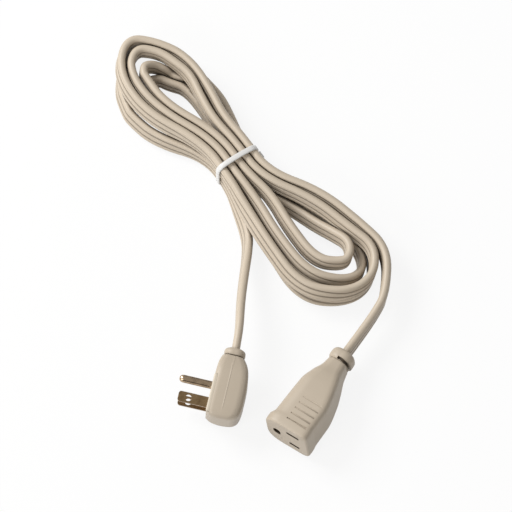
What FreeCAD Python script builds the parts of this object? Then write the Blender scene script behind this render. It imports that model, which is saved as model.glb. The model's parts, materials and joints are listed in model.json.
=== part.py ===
import FreeCAD, Part
import math
import os
import Sketcher

# Grounded extension cord: a flat three-conductor cord wound into a hank and tied at the waist,
# with a flat right-angle plug on one end and a single-outlet connector on the other.
# Millimetres and degrees. +Z is up and the cord lies on the plane Z = 0.

# Driving dimensions
SIZES = {
    # Where the frame's origin lies on the layout that the other places are given on
    "origin_x": 6.3869, "origin_y": -99.4747,

    # Flat cord, lying on edge
    "cord_thick": 4.9, "cord_width": 10.4, "cord_clear": 0.1,
    "core_wide": 2.2, "core_step": 3.45,

    # Hank: five turns in two layers, drawn in at the waist
    "waist_slots": 5, "layer_gap": 0.5, "waist_step": 5.45,
    "waist_x": -11.4, "waist_y": 55.3, "waist_angle": -56.5,
    "tie_wide": 2.5, "tie_thick": 1.1, "tie_clear": 0.3, "tie_under": 0.1, "tie_round": 3.0,
    "head_long": 5.0, "head_wide": 4.6, "head_high": 3.4, "head_up": 1.6,
    "head_window": 2.7, "head_window_deep": 1.4,

    # Plug: placed by the middle of the end that the cord enters
    "plug_x": -13.1, "plug_y": -76.0, "plug_z": 21.0,
    "plug_yaw": -12.8, "plug_pitch": 3.5, "plug_roll": 11.0,
    "plug_long": 40.0, "plug_front": 8.6, "plug_back": 12.0, "plug_wide": 28.0,
    "plug_top": 6.6, "plug_shoulder": 6.0, "plug_slope": 15.0, "plug_top_wide": 17.0,
    "plug_toe": 3.6, "plug_heel": 4.8, "plug_heel_high": 7.0, "plug_round": 2.0,
    "plug_room_back": 3.4, "plug_room_wide": 19.0, "plug_room_top": 5.5, "plug_room_end": 35.9,
    "plug_collar_long": 4.6, "plug_collar_x": 12.8, "plug_collar_z": 15.0, "plug_neck_deep": 6.0,
    "plug_neck_x": 8.6, "plug_neck_z": 13.0, "plug_jacket": 5.0,
    "flange_thick": 2.1, "flange_top": 14.2, "flange_end": 37.4, "flange_inset": 0.15,
    "block_thick": 4.3, "block_wide": 18.6, "block_top": 15.6, "block_end": 35.6,

    # Blades and ground pin
    "blade_spread": 12.7, "blade_high": 6.35, "blade_thick": 1.52, "blade_out": 18.2,
    "blade_place": 31.1, "blade_bevel": 1.2, "blade_hole": 4.0, "blade_hole_from_tip": 6.2,
    "blade_root": 1.8, "blade_tail_wide": 3.6, "blade_tail_high": 2.4,
    "pin_place": 19.2, "pin_wide": 4.8, "pin_out": 20.2, "pin_wall": 0.8, "pin_tip": 2.6,
    "pin_ring_wide": 9.2, "pin_ring_thick": 1.0, "pin_root_wide": 5.4, "pin_root_out": 0.4,
    "nose_share": 0.06, "nose_wide_share": 0.42, "cheek_share": 0.4, "cheek_wide_share": 0.8,
    "crimp_wide": 3.6, "crimp_bore": 2.5, "crimp_long": 6.0, "pin_crimp_back": 1.6, "metal_clear": 0.06,

    # Connector: placed by the middle of its face, on the cord's axis
    "outlet_x": 16.9, "outlet_y": -122.9, "outlet_z": 13.2,
    "outlet_yaw": -35.2, "outlet_pitch": -7.0, "outlet_roll": 0.0,
    "face_ground": 12.0, "face_slots": 16.0, "face_half": 12.7, "straight_long": 21.0,
    "lip_out": 1.7, "lip_edge": 1.2, "lip_long": 4.0, "lip_fade": 3.0,
    "taper_1_long": 13.0, "taper_1_ground": 11.6, "taper_1_slots": 13.2, "taper_1_half": 12.0,
    "taper_2_long": 9.0, "taper_2_ground": 9.4, "taper_2_slots": 10.2, "taper_2_half": 10.6,
    "taper_3_long": 7.0, "taper_3_ground": 7.0, "taper_3_slots": 7.7, "taper_3_half": 9.0,
    "taper_4_long": 6.0, "taper_4_ground": 6.4, "taper_4_slots": 6.6, "taper_4_half": 8.0,
    "slot_edge": 3.2, "ground_round_share": 0.62,
    "wall_front": 3.3, "ground_off": 5.4, "slots_off": 6.5, "slot_spread": 12.7,
    "slot_neutral": 8.6, "slot_line": 7.1, "slot_high": 2.1, "ground_bore": 5.6, "ground_flat": 2.6,
    "grip_count": 5, "grip_first": 6.0, "grip_step": 4.2, "grip_long": 14.0, "grip_wide": 1.3,
    "grip_deep": 0.7, "grip_off": 6.0,
    "carrier_long": 18.7, "carrier_left": 9.2, "carrier_right": 11.8, "carrier_half": 9.3,
    "carrier_clear": 0.15, "pocket_wide": 9.2, "pocket_high": 4.4, "ground_pocket": 6.4,
    "contact_wide": 6.4, "contact_high": 3.8, "contact_leaf": 0.6, "contact_long": 16.0,
    "contact_start": 0.4, "sleeve_wide": 6.0, "sleeve_bore": 4.9, "sleeve_long": 14.0,
    "contact_grip": 1.2, "contact_grip_at": 3.0, "contact_grip_end": 9.0, "contact_mouth": 0.3,
    "room_left": 8.0, "room_right": 8.6, "room_half": 8.6, "room_back": 19.0,
    "throat_x": 4.6, "throat_z": 6.4, "outlet_neck_deep": 6.0, "outlet_jacket": 4.5,
    "outlet_neck_x": 8.6, "outlet_neck_z": 12.8, "collar_gap": 1.4, "collar_long": 6.6,
    "collar_x": 15.4, "collar_z": 16.0, "collar_round": 1.6, "collar_corner": 6.0,
    "plug_collar_gap": 0.4, "bore_corner": 2.3,

    # Cord and cores: straight stretches behind the collars and inside the housings
    "plug_exit": 8.0, "outlet_exit": 5.0, "core_in_crimp": 1.0,
    "plug_ground_run": 2.5, "plug_ground_turn": 5.5, "plug_side_run": 4.5, "plug_side_turn": 10.5,
    "outlet_core_run": 9.5, "outlet_core_turn": 20.5,
}

doc = FreeCAD.newDocument("ExtensionCord")
sheet = doc.addObject("Spreadsheet::Sheet", "Sizes")
for row, (alias, number) in enumerate(SIZES.items(), start=1):
    sheet.set("A%d" % row, alias)
    sheet.set("B%d" % row, str(number))
    sheet.setAlias("B%d" % row, alias)
doc.recompute()


class Measure:
    """A number with the sheet expression that gives it."""

    def __init__(self, number, text=None):
        self.number = float(number)
        self.text = text or repr(float(number))

    def combine(self, other, sign, result):
        return Measure(result, "(%s %s %s)" % (self.text, sign, other.text))

    def __add__(self, other):
        other = measure(other)
        return self.combine(other, "+", self.number + other.number)

    def __sub__(self, other):
        other = measure(other)
        return self.combine(other, "-", self.number - other.number)

    def __mul__(self, other):
        other = measure(other)
        return self.combine(other, "*", self.number * other.number)

    def __truediv__(self, other):
        other = measure(other)
        return self.combine(other, "/", self.number / other.number)

    def __neg__(self):
        return Measure(-self.number, "(-1 * %s)" % self.text)

    def __radd__(self, other):
        return measure(other) + self

    def __rsub__(self, other):
        return measure(other) - self


def measure(value):
    return value if isinstance(value, Measure) else Measure(value)


class Sizes:
    """Reads a size from the sheet by its alias."""

    def __getattr__(self, alias):
        return Measure(sheet.get(alias), "Sizes.%s" % alias)


z = Sizes()


def bind(thing, name, value):
    value = measure(value)
    setattr(thing, name, value.number)
    thing.setExpression(name, value.text)


def placed(spot, shift=(0, 0, 0), turn=(0, 0, 0)):
    """The expression of a place in the plug's or the connector's own frame."""
    base = ("placement(vector(Sizes.%s_x - Sizes.origin_x; Sizes.%s_y - Sizes.origin_y; Sizes.%s_z);"
            " rotation(Sizes.%s_yaw; Sizes.%s_pitch; Sizes.%s_roll))" % ((spot,) * 6))
    own = "placement(vector(%s; %s; %s); rotation(%s; %s; %s))" % tuple(
        measure(value).text for value in tuple(shift) + tuple(turn))
    return base + " * " + own


def seat(thing, spot, shift=(0, 0, 0), turn=(0, 0, 0)):
    thing.setExpression("Placement", placed(spot, shift, turn))
    return thing


parts = []


def keep(thing, label):
    thing.Label = label
    parts.append(thing)
    return thing


# Part primitives in the frame of the plug or the connector

def box(label, low, high):
    """A box between two corners."""
    solid = doc.addObject("Part::Box", label)
    for name, start, end in zip(("Length", "Width", "Height"), low, high):
        bind(solid, name, measure(end) - start)
    for axis, start in zip("xyz", low):
        solid.setExpression("Placement.Base.%s" % axis, measure(start).text)
    return solid


TURNS = {"x": (0, 90, 0), "y": (0, 0, -90), "z": (0, 0, 0)}


def rod(label, wide, long, start, axis):
    """A round rod of diameter wide, from its start along an axis."""
    solid = doc.addObject("Part::Cylinder", label)
    bind(solid, "Radius", wide / 2)
    bind(solid, "Height", long)
    text = "placement(vector(%s; %s; %s); rotation(%d; %d; %d))" % (
        tuple(measure(value).text for value in start) + TURNS[axis])
    solid.setExpression("Placement", text)
    return solid


def fuse(label, shapes):
    solid = doc.addObject("Part::MultiFuse", label)
    solid.Shapes = shapes
    return solid


def cut(label, base, tools):
    solid = doc.addObject("Part::Cut", label)
    solid.Base = base
    solid.Tool = tools[0] if len(tools) == 1 else fuse(label + "_cuts", tools)
    return solid


# Sketches and features of a body

def new_body(label):
    body = doc.addObject("PartDesign::Body", label)
    body.Label = label
    return body


def plane(body, role):
    return [item for item in body.Origin.OriginFeatures if item.Role == role][0]


def new_sketch(body, name, role, offset):
    sketch = body.newObject("Sketcher::SketchObject", name)
    sketch.AttachmentSupport = (plane(body, role), [""])
    sketch.MapMode = "FlatFace"
    sketch.setExpression("AttachmentOffset.Base.z", measure(offset).text)
    return sketch


def fix(sketch, geometry, point, place):
    """Ties a point of the sketch to its place."""
    for kind, value in zip(("DistanceX", "DistanceY"), place):
        value = measure(value)
        index = sketch.addConstraint(Sketcher.Constraint(kind, -1, 1, geometry, point, value.number))
        sketch.setExpression("Constraints[%d]" % index, value.text)


def outline(body, name, role, corners, offset=0):
    """A closed outline of straight lines through corners."""
    sketch = new_sketch(body, name, role, offset)
    flat = [FreeCAD.Vector(measure(x).number, measure(y).number, 0) for x, y in corners]
    count = len(flat)
    for index in range(count):
        sketch.addGeometry(Part.LineSegment(flat[index], flat[(index + 1) % count]), False)
    for index in range(count):
        sketch.addConstraint(Sketcher.Constraint("Coincident", index, 2, (index + 1) % count, 1))
    for index, corner in enumerate(corners):
        fix(sketch, index, 1, corner)
    return sketch


def rounded(body, name, low, high, radii, role="XZ_Plane", offset=0):
    """A rounded rectangle; radii are those of its low-X and high-X corners."""
    sketch = new_sketch(body, name, role, offset)
    x0, y0, x1, y1 = (measure(value).number for value in tuple(low) + tuple(high))
    r0, r1 = (measure(value).number for value in radii)
    corners = ((x1 - r1, y0 + r1, r1, -90), (x1 - r1, y1 - r1, r1, 0),
               (x0 + r0, y1 - r0, r0, 90), (x0 + r0, y0 + r0, r0, 180))
    lines = (((x0 + r0, y0), (x1 - r1, y0)), ((x1, y0 + r1), (x1, y1 - r1)),
             ((x1 - r1, y1), (x0 + r0, y1)), ((x0, y1 - r0), (x0, y0 + r0)))
    for (start, end), (x, y, radius, angle) in zip(lines, corners):
        sketch.addGeometry(Part.LineSegment(FreeCAD.Vector(*start, 0), FreeCAD.Vector(*end, 0)), False)
        circle = Part.Circle(FreeCAD.Vector(x, y, 0), FreeCAD.Vector(0, 0, 1), radius)
        first = math.radians(angle)
        sketch.addGeometry(Part.ArcOfCircle(circle, first, first + math.pi / 2), False)
    for index in range(8):
        sketch.addConstraint(Sketcher.Constraint("Tangent", index, 2, (index + 1) % 8, 1))
    for index, kind in ((0, "Horizontal"), (2, "Vertical"), (4, "Horizontal"), (6, "Vertical")):
        sketch.addConstraint(Sketcher.Constraint(kind, index))
    for index, value in ((1, radii[1]), (3, radii[1]), (5, radii[0]), (7, radii[0])):
        value = measure(value)
        place = sketch.addConstraint(Sketcher.Constraint("Radius", index, value.number))
        sketch.setExpression("Constraints[%d]" % place, value.text)
    sides = ((0, "DistanceY", low[1]), (2, "DistanceX", high[0]),
             (4, "DistanceY", high[1]), (6, "DistanceX", low[0]))
    for index, kind, value in sides:
        value = measure(value)
        place = sketch.addConstraint(Sketcher.Constraint(kind, -1, 1, index, 1, value.number))
        sketch.setExpression("Constraints[%d]" % place, value.text)
    return sketch


def pad(body, name, sketch, long, middle=True, reverse=False):
    feature = body.newObject("PartDesign::Pad", name)
    feature.Profile = sketch
    bind(feature, "Length", long)
    feature.Midplane = middle
    feature.Reversed = reverse
    return feature


def pocket(body, name, sketch, deep, middle=True, reverse=False):
    feature = body.newObject("PartDesign::Pocket", name)
    feature.Profile = sketch
    bind(feature, "Length", deep)
    feature.Midplane = middle
    feature.Reversed = reverse
    return feature


def soften(body, name, base, radius):
    """Rounds every edge of a feature."""
    doc.recompute()
    feature = body.newObject("PartDesign::Fillet", name)
    feature.Base = (base, ["Edge%d" % (index + 1) for index in range(len(base.Shape.Edges))])
    bind(feature, "Radius", radius)
    return feature


def block(low, high):
    """The corners of an upright rectangle between two points."""
    return [low, (high[0], low[1]), high, (low[0], high[1])]


# Cord routes: straight runs joined by tangent arcs, and chains of paired arcs

def vector(*numbers):
    return FreeCAD.Vector(*numbers)


def arc_edge(start, along, end):
    """The arc that leaves start in the direction along and reaches end."""
    chord = end - start
    side = along - chord * (along.dot(chord) / chord.dot(chord))
    if side.Length < 1e-6:
        return Part.LineSegment(start, end).toShape(), math.inf
    half = math.atan2(side.Length, along.dot(chord) / chord.Length)
    middle = (start + end) / 2 + side.normalize() * (chord.Length / 2 * math.tan(half / 2))
    return Part.Arc(start, middle, end).toShape(), chord.Length / (2 * math.sin(half))


def paired_arcs(start, along, end, arriving):
    """Two arcs with a common tangent, from one point and direction to another."""
    span = end - start
    both = along + arriving
    bend = 1 - along.dot(arriving)
    if bend < 1e-6:
        reach = span.dot(span) / (4 * span.dot(arriving))
    else:
        lean = span.dot(both)
        reach = (math.sqrt(lean * lean + 2 * bend * span.dot(span)) - lean) / (2 * bend)
    joint = (start + end + (along - arriving) * reach) / 2
    through = ((end - arriving * reach) - (start + along * reach)).normalize()
    return arc_edge(start, along, joint), arc_edge(joint, through, end)


def chain(stations):
    """A wire of paired arcs through stations, with its radii."""
    edges, radii = [], []
    for (start, along), (end, arriving) in zip(stations, stations[1:]):
        for edge, radius in paired_arcs(start, along, end, arriving):
            edges.append(edge)
            radii.append(radius)
    return Part.Wire(edges), radii


BEND_SHARE = 0.45


def rounded_route(points):
    """A wire of straight runs with an arc at each inner point, with the arcs' radii."""
    edges, radii = [], []
    last = points[0]
    for before, corner, after in zip(points, points[1:], points[2:]):
        arriving = (corner - before).normalize()
        leaving = (after - corner).normalize()
        half_turn = arriving.getAngle(leaving) / 2
        back = BEND_SHARE * min((corner - before).Length, (after - corner).Length)
        start = corner - arriving * back
        end = corner + leaving * back
        edges.append(Part.LineSegment(last, start).toShape())
        edges.append(arc_edge(start, arriving, end)[0])
        radii.append(back / math.tan(half_turn))
        last = end
    edges.append(Part.LineSegment(last, points[-1]).toShape())
    return Part.Wire(edges), radii


def cord_section(start, along, upright):
    """The flat cord's outline at a point: two flats joined by half circles."""
    thick = z.cord_thick.number
    wide = z.cord_width.number
    across = along.cross(upright).normalize()
    up = across.cross(along).normalize()
    core = (wide - thick) / 2
    side = across * (thick / 2)
    tip = up * (wide / 2)
    rise = up * core
    edges = [
        Part.LineSegment(start + side - rise, start + side + rise).toShape(),
        Part.Arc(start + side + rise, start + tip, start - side + rise).toShape(),
        Part.LineSegment(start - side + rise, start - side - rise).toShape(),
        Part.Arc(start - side - rise, start - tip, start + side - rise).toShape(),
    ]
    return Part.Wire(edges)


def section_area():
    thick = z.cord_thick.number
    return (z.cord_width.number - thick) * thick + math.pi * thick * thick / 4


def cord_solid(wire, start, along, upright, name):
    """The cord along a wire, with its volume set against section times length."""
    solid = wire.makePipeShell([cord_section(start, along, upright)], True, False)
    share = solid.Volume / (section_area() * wire.Length)
    print("%s: length %.1f, volume share %.4f" % (name, wire.Length, share))
    return solid


def feature(label, shape):
    thing = doc.addObject("Part::Feature", label)
    thing.Shape = shape
    return keep(thing, label)


# Hank

# Route of the hank from the connector's end to the plug's end, measured from the middle of its
# waist. A place gives X, Y, heading, layer and slope, where layer 0 lies on the floor and layer 1
# on top of it. A crossing of the waist gives its side, the slot it takes and its layer; slots
# count from the middle, with the far side positive.
HANK_ROUTE = [
    # Outermost turn, on top
    (89.8, -72.5, 87.0, 1.0), (63.4, -33.4, 139.0, 1.0), ("far", 2, 1),
    (-13.0, 37.8, 115.5, 1.0), (-33.1, 68.7, 137.0, 1.0), (-56.2, 80.5, 171.0, 1.0),
    (-67.2, 48.0, 302.0, 1.0), ("near", -2, 1), (7.2, -36.6, 299.0, 1.0),
    (56.0, -87.5, 352.0, 1.0), (82.3, -68.5, 87.0, 1.0),
    # Next turn in, on top, which drops at its right end
    (59.3, -38.6, 139.0, 1.0), ("far", 1, 1), (-19.1, 36.4, 117.0, 1.0),
    (-34.9, 62.8, 137.0, 1.0), (-54.2, 74.1, 170.0, 1.0), (-62.2, 51.3, 304.0, 1.0),
    ("near", -1, 1), (15.2, -35.5, 298.0, 1.0), (57.5, -78.0, 352.0, 0.72, -10.0),
    (75.2, -64.4, 92.0, 0.1, -10.0),
    # Innermost turn, which climbs at its left end
    (58.3, -39.6, 139.0, 0.0), (34.2, -21.4, 145.0, 0.0), ("far", 1, 0),
    (-13.3, 37.2, 117.0, 0.0), (-27.3, 57.2, 134.0, 0.0), (-39.0, 62.0, 153.0, 0.0, 4.0),
    (-47.6, 65.2, 167.0, 0.42, 25.0), (-57.6, 59.7, 266.0, 0.98, 5.0),
    (-56.1, 54.9, 303.2, 1.0), ("near", 0, 1), (25.0, -33.0, 298.0, 1.0),
    (59.6, -68.2, 352.0, 1.0), (67.5, -59.7, 98.0, 0.97, -8.0),
    # Lower turn, which borders the left hole
    (53.6, -43.6, 143.0, 0.45, -16.0), (29.5, -25.0, 146.0, 0.0), ("far", 0, 0),
    (-19.9, 36.8, 122.0, 0.0), (-31.3, 51.9, 136.0, 0.0), (-41.8, 56.8, 159.0, 0.0),
    (-49.0, 59.4, 184.0, 0.0), (-58.0, 48.0, 303.0, 0.0), ("near", -1, 0),
    (11.2, -37.0, 299.0, 0.0), (56.0, -86.5, 352.0, 0.0), (81.2, -67.0, 88.0, 0.0),
    # Lower turn on the outside, which leads out to the plug
    (63.9, -32.6, 140.0, 0.0), (39.1, -17.4, 146.0, 0.0), ("far", 2, 0),
    (-7.6, 40.2, 115.0, 0.0), (-23.6, 61.6, 131.0, 0.0), (-54.5, 79.3, 172.0, 0.0),
    (-69.0, 42.4, 288.0, 0.0), (-62.8, 31.8, 316.0, 0.0), ("near", -2, 0),
    (1.8, -31.5, -72.0, 0.0),
]

lift = z.tie_thick.number + z.tie_under.number
layer_low = lift + z.cord_width.number / 2
layer_high = layer_low + z.cord_width.number + z.layer_gap.number
waist = vector(z.waist_x.number - z.origin_x.number, z.waist_y.number - z.origin_y.number, 0)


def station(x, y, heading, layer, slope=0.0):
    """A point measured from the waist, and the direction of travel there."""
    turn = math.radians(heading)
    rise = math.radians(slope)
    along = vector(math.cos(turn) * math.cos(rise), math.sin(turn) * math.cos(rise), math.sin(rise))
    return waist + vector(x, y, layer_low + layer * (layer_high - layer_low)), along


def at_waist(side, slot, layer):
    """A station at the waist; the far side is travelled one way and the near side the other."""
    heading = z.waist_angle.number
    across = math.radians(heading + 90)
    off = slot * z.waist_step.number
    travel = heading + 180 if side == "far" else heading
    return station(off * math.cos(across), off * math.sin(across), travel, layer)


def hank_stations():
    stations = []
    for place in HANK_ROUTE:
        crossing = isinstance(place[0], str)
        stations.append(at_waist(*place) if crossing else station(*place))
    return stations


def with_straight_ends(wire, stations, long):
    """The wire with a straight run added before its start and after its end."""
    start, along = stations[0]
    end, arriving = stations[-1]
    first = Part.LineSegment(start - along * long, start).toShape()
    last = Part.LineSegment(end, end + arriving * long).toShape()
    return Part.Wire([first] + list(wire.Edges) + [last]), start - along * long, end + arriving * long


def least_gap(wire, pace=1.5, skip=14.0):
    """The least gap of the cord to itself, from points along its middle line."""
    count = int(wire.Length / pace)
    points = [(p.x, p.y, p.z) for p in wire.discretize(Number=count)]
    apart = int(skip / pace) + 1
    core = z.cord_width.number - z.cord_thick.number
    least = math.inf
    for index, (x, y, height) in enumerate(points):
        for other_x, other_y, other_height in points[index + apart:]:
            beside = math.hypot(x - other_x, y - other_y)
            above = max(abs(height - other_height) - core, 0.0)
            least = min(least, math.hypot(beside, above))
    return least - z.cord_thick.number


UP = vector(0, 0, 1)
stations = hank_stations()
loops, radii = chain(stations)
hank_wire, hank_start, hank_end = with_straight_ends(loops, stations, z.cord_thick.number)
lead_in_along = stations[0][1]
lead_out_along = stations[-1][1]
print("cord_hank: tightest radius %.1f, least gap to itself %.2f" % (min(radii), least_gap(hank_wire)))
cord_hank = feature("cord_hank", cord_solid(hank_wire, hank_start, lead_in_along, UP, "cord_hank"))


# Tie round the waist

waist_half = z.waist_step * (z.waist_slots - 1) / 2 + z.cord_thick / 2 + z.tie_clear


def at_tie(thing):
    """Places a piece made across the waist, with X along the cord."""
    place = "placement(vector(Sizes.waist_x - Sizes.origin_x; Sizes.waist_y - Sizes.origin_y; 0);"
    thing.setExpression("Placement", place + " rotation(Sizes.waist_angle; 0; 0))")
    return thing


def tie_strap():
    """A flat strap round the whole bundle, which lies on its lower run."""
    top = z.tie_thick + z.tie_under + z.cord_width * 2 + z.layer_gap + z.tie_clear
    body = new_body("tie_strap")
    outer_round = z.tie_round + z.tie_thick
    outside = rounded(body, "tie_outside", (-waist_half - z.tie_thick, 0),
                      (waist_half + z.tie_thick, top + z.tie_thick), (outer_round, outer_round), "YZ_Plane")
    pad(body, "tie_loop", outside, z.tie_wide)
    inside = rounded(body, "tie_inside", (-waist_half, z.tie_thick), (waist_half, top),
                     (z.tie_round, z.tie_round), "YZ_Plane")
    pocket(body, "tie_opening", inside, z.tie_wide * 2)
    return at_tie(body)


def tie_head():
    """The locking head, on the strap's far side near the floor, with its window."""
    start = waist_half + z.tie_thick
    half = z.head_wide / 2
    window = z.head_window / 2
    body = new_body("tie_head")
    side = outline(body, "head_side", "YZ_Plane",
                   block((start, z.head_up), (start + z.head_high, z.head_up + z.head_long)))
    pad(body, "head_bulk", side, z.head_wide)
    doc.recompute()
    middle = z.head_up + z.head_long / 2
    far = start + z.head_high
    opening = outline(body, "head_opening", "YZ_Plane",
                      block((far - z.head_window_deep, middle - window), (far + 1, middle + window)))
    pocket(body, "head_window", opening, window * 2)
    return at_tie(body)


# Plug

blade_middle = -z.blade_place
blade_half = z.blade_high / 2
blade_tip = -(z.plug_front + z.blade_out)
pin_middle = -z.pin_place
flange_back = z.flange_thick - z.plug_front
block_back = flange_back + z.block_thick
wire_spots = {"line": -1, "neutral": 1, "ground": 0}


def plug_body():
    body = new_body("plug_body")
    end = -z.plug_long
    side = outline(body, "plug_side", "XY_Plane", [
        (-z.plug_top, 0), (-z.plug_front, -z.plug_shoulder), (-z.plug_front, end + z.plug_toe),
        (z.plug_toe - z.plug_front, end), (z.plug_back - z.plug_heel, end),
        (z.plug_back, end + z.plug_heel_high), (z.plug_back, -z.plug_slope), (z.plug_top, 0)])
    bulk = pad(body, "plug_bulk", side, z.plug_wide)
    half = z.plug_wide / 2
    half_top = z.plug_top_wide / 2
    far = half * 2
    for name, sign in (("plug_taper_low", -1), ("plug_taper_high", 1)):
        corner = [(-z.plug_slope, half * sign), (0, half_top * sign), (z.plug_slope, half_top * sign),
                  (z.plug_slope, far * sign), (-z.plug_slope, far * sign)]
        bulk = pocket(body, name, outline(body, name + "_line", "YZ_Plane", corner), z.plug_long * 2)
    soften(body, "plug_edges", bulk, z.plug_round)
    far_front = -(z.plug_front + z.plug_wide)
    seat_line = outline(body, "carrier_seat_line", "XY_Plane",
                        block((far_front, -z.flange_end - z.carrier_clear),
                              (flange_back, -z.flange_top + z.carrier_clear)))
    pocket(body, "carrier_seat", seat_line, z.plug_wide * 2)
    room = outline(body, "plug_room_line", "XY_Plane",
                   block((flange_back - 1, -z.plug_room_end), (z.plug_room_back, -z.plug_room_top)))
    pocket(body, "plug_room", room, z.plug_room_wide)
    neck = rounded(body, "plug_neck_line",
                   (-z.plug_neck_x / 2 - z.cord_clear, -z.plug_neck_z / 2 - z.cord_clear),
                   (z.plug_neck_x / 2 + z.cord_clear, z.plug_neck_z / 2 + z.cord_clear),
                   (z.plug_round, z.plug_round))
    pocket(body, "plug_neck_bore", neck, (z.plug_neck_deep + z.cord_clear) * 2)
    return seat(body, "plug")


def plug_carrier():
    half = z.plug_wide / 2 - z.flange_inset
    deep = z.block_wide / 2
    plate = box("carrier_plate", (-z.plug_front, -z.flange_end, -half), (flange_back, -z.flange_top, half))
    core = box("carrier_core", (flange_back - z.metal_clear, -z.block_end, -deep),
               (block_back, -z.block_top, deep))
    front = -z.plug_front - 1
    clear = z.metal_clear
    long = block_back - front + 1
    cuts = [rod("pin_hole", z.pin_root_wide + clear * 2, long, (front, pin_middle, 0), "x")]
    for sign in (-1, 1):
        middle = z.blade_spread / 2 * sign
        thick = z.blade_thick / 2 + clear
        cuts.append(box("blade_hole", (front, blade_middle - blade_half - clear, middle - thick),
                        (block_back + 1, blade_middle + blade_half + clear, middle + thick)))
    return seat(cut("plug_carrier", fuse("carrier_bulk", [plate, core]), cuts), "plug")


def blade(label, sign):
    body = new_body(label)
    low = blade_middle - blade_half
    high = blade_middle + blade_half
    bevel = z.blade_bevel
    tail = z.blade_root - z.blade_tail_wide
    rise = high + z.blade_tail_high
    shape = outline(body, label + "_outline", "XY_Plane", [
        (blade_tip + bevel, low), (z.blade_root, low), (z.blade_root, rise), (tail, rise), (tail, high),
        (blade_tip + bevel, high), (blade_tip, high - bevel), (blade_tip, low + bevel)])
    plate = pad(body, label + "_plate", shape, z.blade_thick)
    doc.recompute()
    hole = new_sketch(body, label + "_hole_line", "XY_Plane", 0)
    middle = blade_tip + z.blade_hole_from_tip
    radius = z.blade_hole / 2
    circle = Part.Circle(vector(middle.number, blade_middle.number, 0), UP, radius.number)
    hole.addGeometry(circle, False)
    index = hole.addConstraint(Sketcher.Constraint("Radius", 0, radius.number))
    hole.setExpression("Constraints[%d]" % index, radius.text)
    fix(hole, 0, 3, (middle, blade_middle))
    pocket(body, label + "_hole", hole, z.blade_thick * 4)
    return seat(body, "plug", (0, 0, z.blade_spread / 2 * sign))


def ground_pin():
    """A hollow pin, closed and rounded at its tip, with a ring at its root."""
    body = new_body("ground_pin")
    radius = z.pin_wide / 2
    tip = -(z.plug_front + z.pin_out)
    root = z.pin_root_wide / 2
    root_start = -(z.plug_front + z.pin_root_out)
    ring = block_back + z.metal_clear
    back = ring + z.pin_ring_thick
    bore = radius - z.pin_wall
    profile = outline(body, "pin_profile", "XY_Plane", [
        (tip, 0), (tip + z.pin_tip * z.nose_share, radius * z.nose_wide_share),
        (tip + z.pin_tip * z.cheek_share, radius * z.cheek_wide_share),
        (tip + z.pin_tip, radius), (root_start, radius), (root_start, root), (ring, root),
        (ring, z.pin_ring_wide / 2),
        (back, z.pin_ring_wide / 2), (back, bore), (tip + z.pin_tip, bore), (tip + z.pin_tip - bore / 2, 0)])
    turned = body.newObject("PartDesign::Revolution", "pin_turned")
    turned.Profile = profile
    turned.ReferenceAxis = (profile, ["H_Axis"])
    turned.Angle = 360
    return seat(body, "plug", (0, pin_middle, 0))


def crimp(label, spot, start):
    """A crimp barrel along Y from its start."""
    outside = rod(label + "_outside", z.crimp_wide, z.crimp_long, start, "y")
    inside = rod(label + "_inside", z.crimp_bore, z.crimp_long * 3,
                 (start[0], start[1] - z.crimp_long, start[2]), "y")
    return seat(cut(label, outside, [inside]), spot)


def core_solid(points):
    """A stripped conductor along a rounded route."""
    route = [vector(*(measure(value).number for value in point)) for point in points]
    wire, _ = rounded_route(route)
    along = (route[1] - route[0]).normalize()
    ring = Part.Wire([Part.Circle(route[0], along, z.core_wide.number / 2).toShape()])
    return wire.makePipeShell([ring], True, False)


def core(label, spot, points):
    thing = feature(label, core_solid(points))
    return seat(thing, spot)


def collar(label, spot, end, gap, long, wide, high, neck):
    """A bend relief ring behind a housing, with a neck that seats in the housing's end."""
    neck_x, neck_z, deep = neck
    body = new_body(label)
    near = end + gap
    far = near + long
    half = (wide / 2, high / 2)
    ring = rounded(body, label + "_ring_line", (-half[0], -half[1]), half,
                   (z.collar_corner, z.collar_corner), "XZ_Plane", -far)
    bulk = pad(body, label + "_ring", ring, long, False)
    soften(body, label + "_edges", bulk, z.collar_round)
    stem = (neck_x / 2, neck_z / 2)
    line = rounded(body, label + "_neck_line", (-stem[0], -stem[1]), stem,
                   (z.plug_round, z.plug_round), "XZ_Plane", -(near + z.collar_round))
    pad(body, label + "_neck", line, z.collar_round + gap + deep, False)
    bore = (z.cord_thick / 2 + z.cord_clear, z.cord_width / 2 + z.cord_clear)
    hole = rounded(body, label + "_bore_line", (-bore[0], -bore[1]), bore,
                   (z.bore_corner, z.bore_corner), "XZ_Plane", -near)
    pocket(body, label + "_bore", hole, (long + gap + deep) * 4)
    return seat(body, spot)


# Connector

outlet_long = z.straight_long + z.taper_1_long + z.taper_2_long + z.taper_3_long + z.taper_4_long
room_end = outlet_long - z.room_back
contact_start = z.wall_front + z.carrier_clear + z.contact_start
contact_end = contact_start + z.contact_long
sleeve_end = contact_start + z.sleeve_long


def outlet_sections():
    """Distance from the face, reach to the ground side and the slot side, and half height."""
    lip = z.lip_out
    third = lip / 3
    edge = z.lip_edge
    ground, slots, half = z.face_ground + lip, z.face_slots + third, z.face_half + third
    yield measure(0), ground - edge, slots - edge, half - edge
    yield edge, ground, slots, half
    yield edge + z.lip_long, ground, slots, half
    place = z.lip_edge + z.lip_long + z.lip_fade
    yield place, z.face_ground, z.face_slots, z.face_half
    place = z.straight_long
    yield place, z.face_ground, z.face_slots, z.face_half
    for index in (1, 2, 3, 4):
        row = [getattr(z, "taper_%d_%s" % (index, name)) for name in ("long", "ground", "slots", "half")]
        place = place + row[0]
        yield place, row[1], row[2], row[3]


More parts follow.
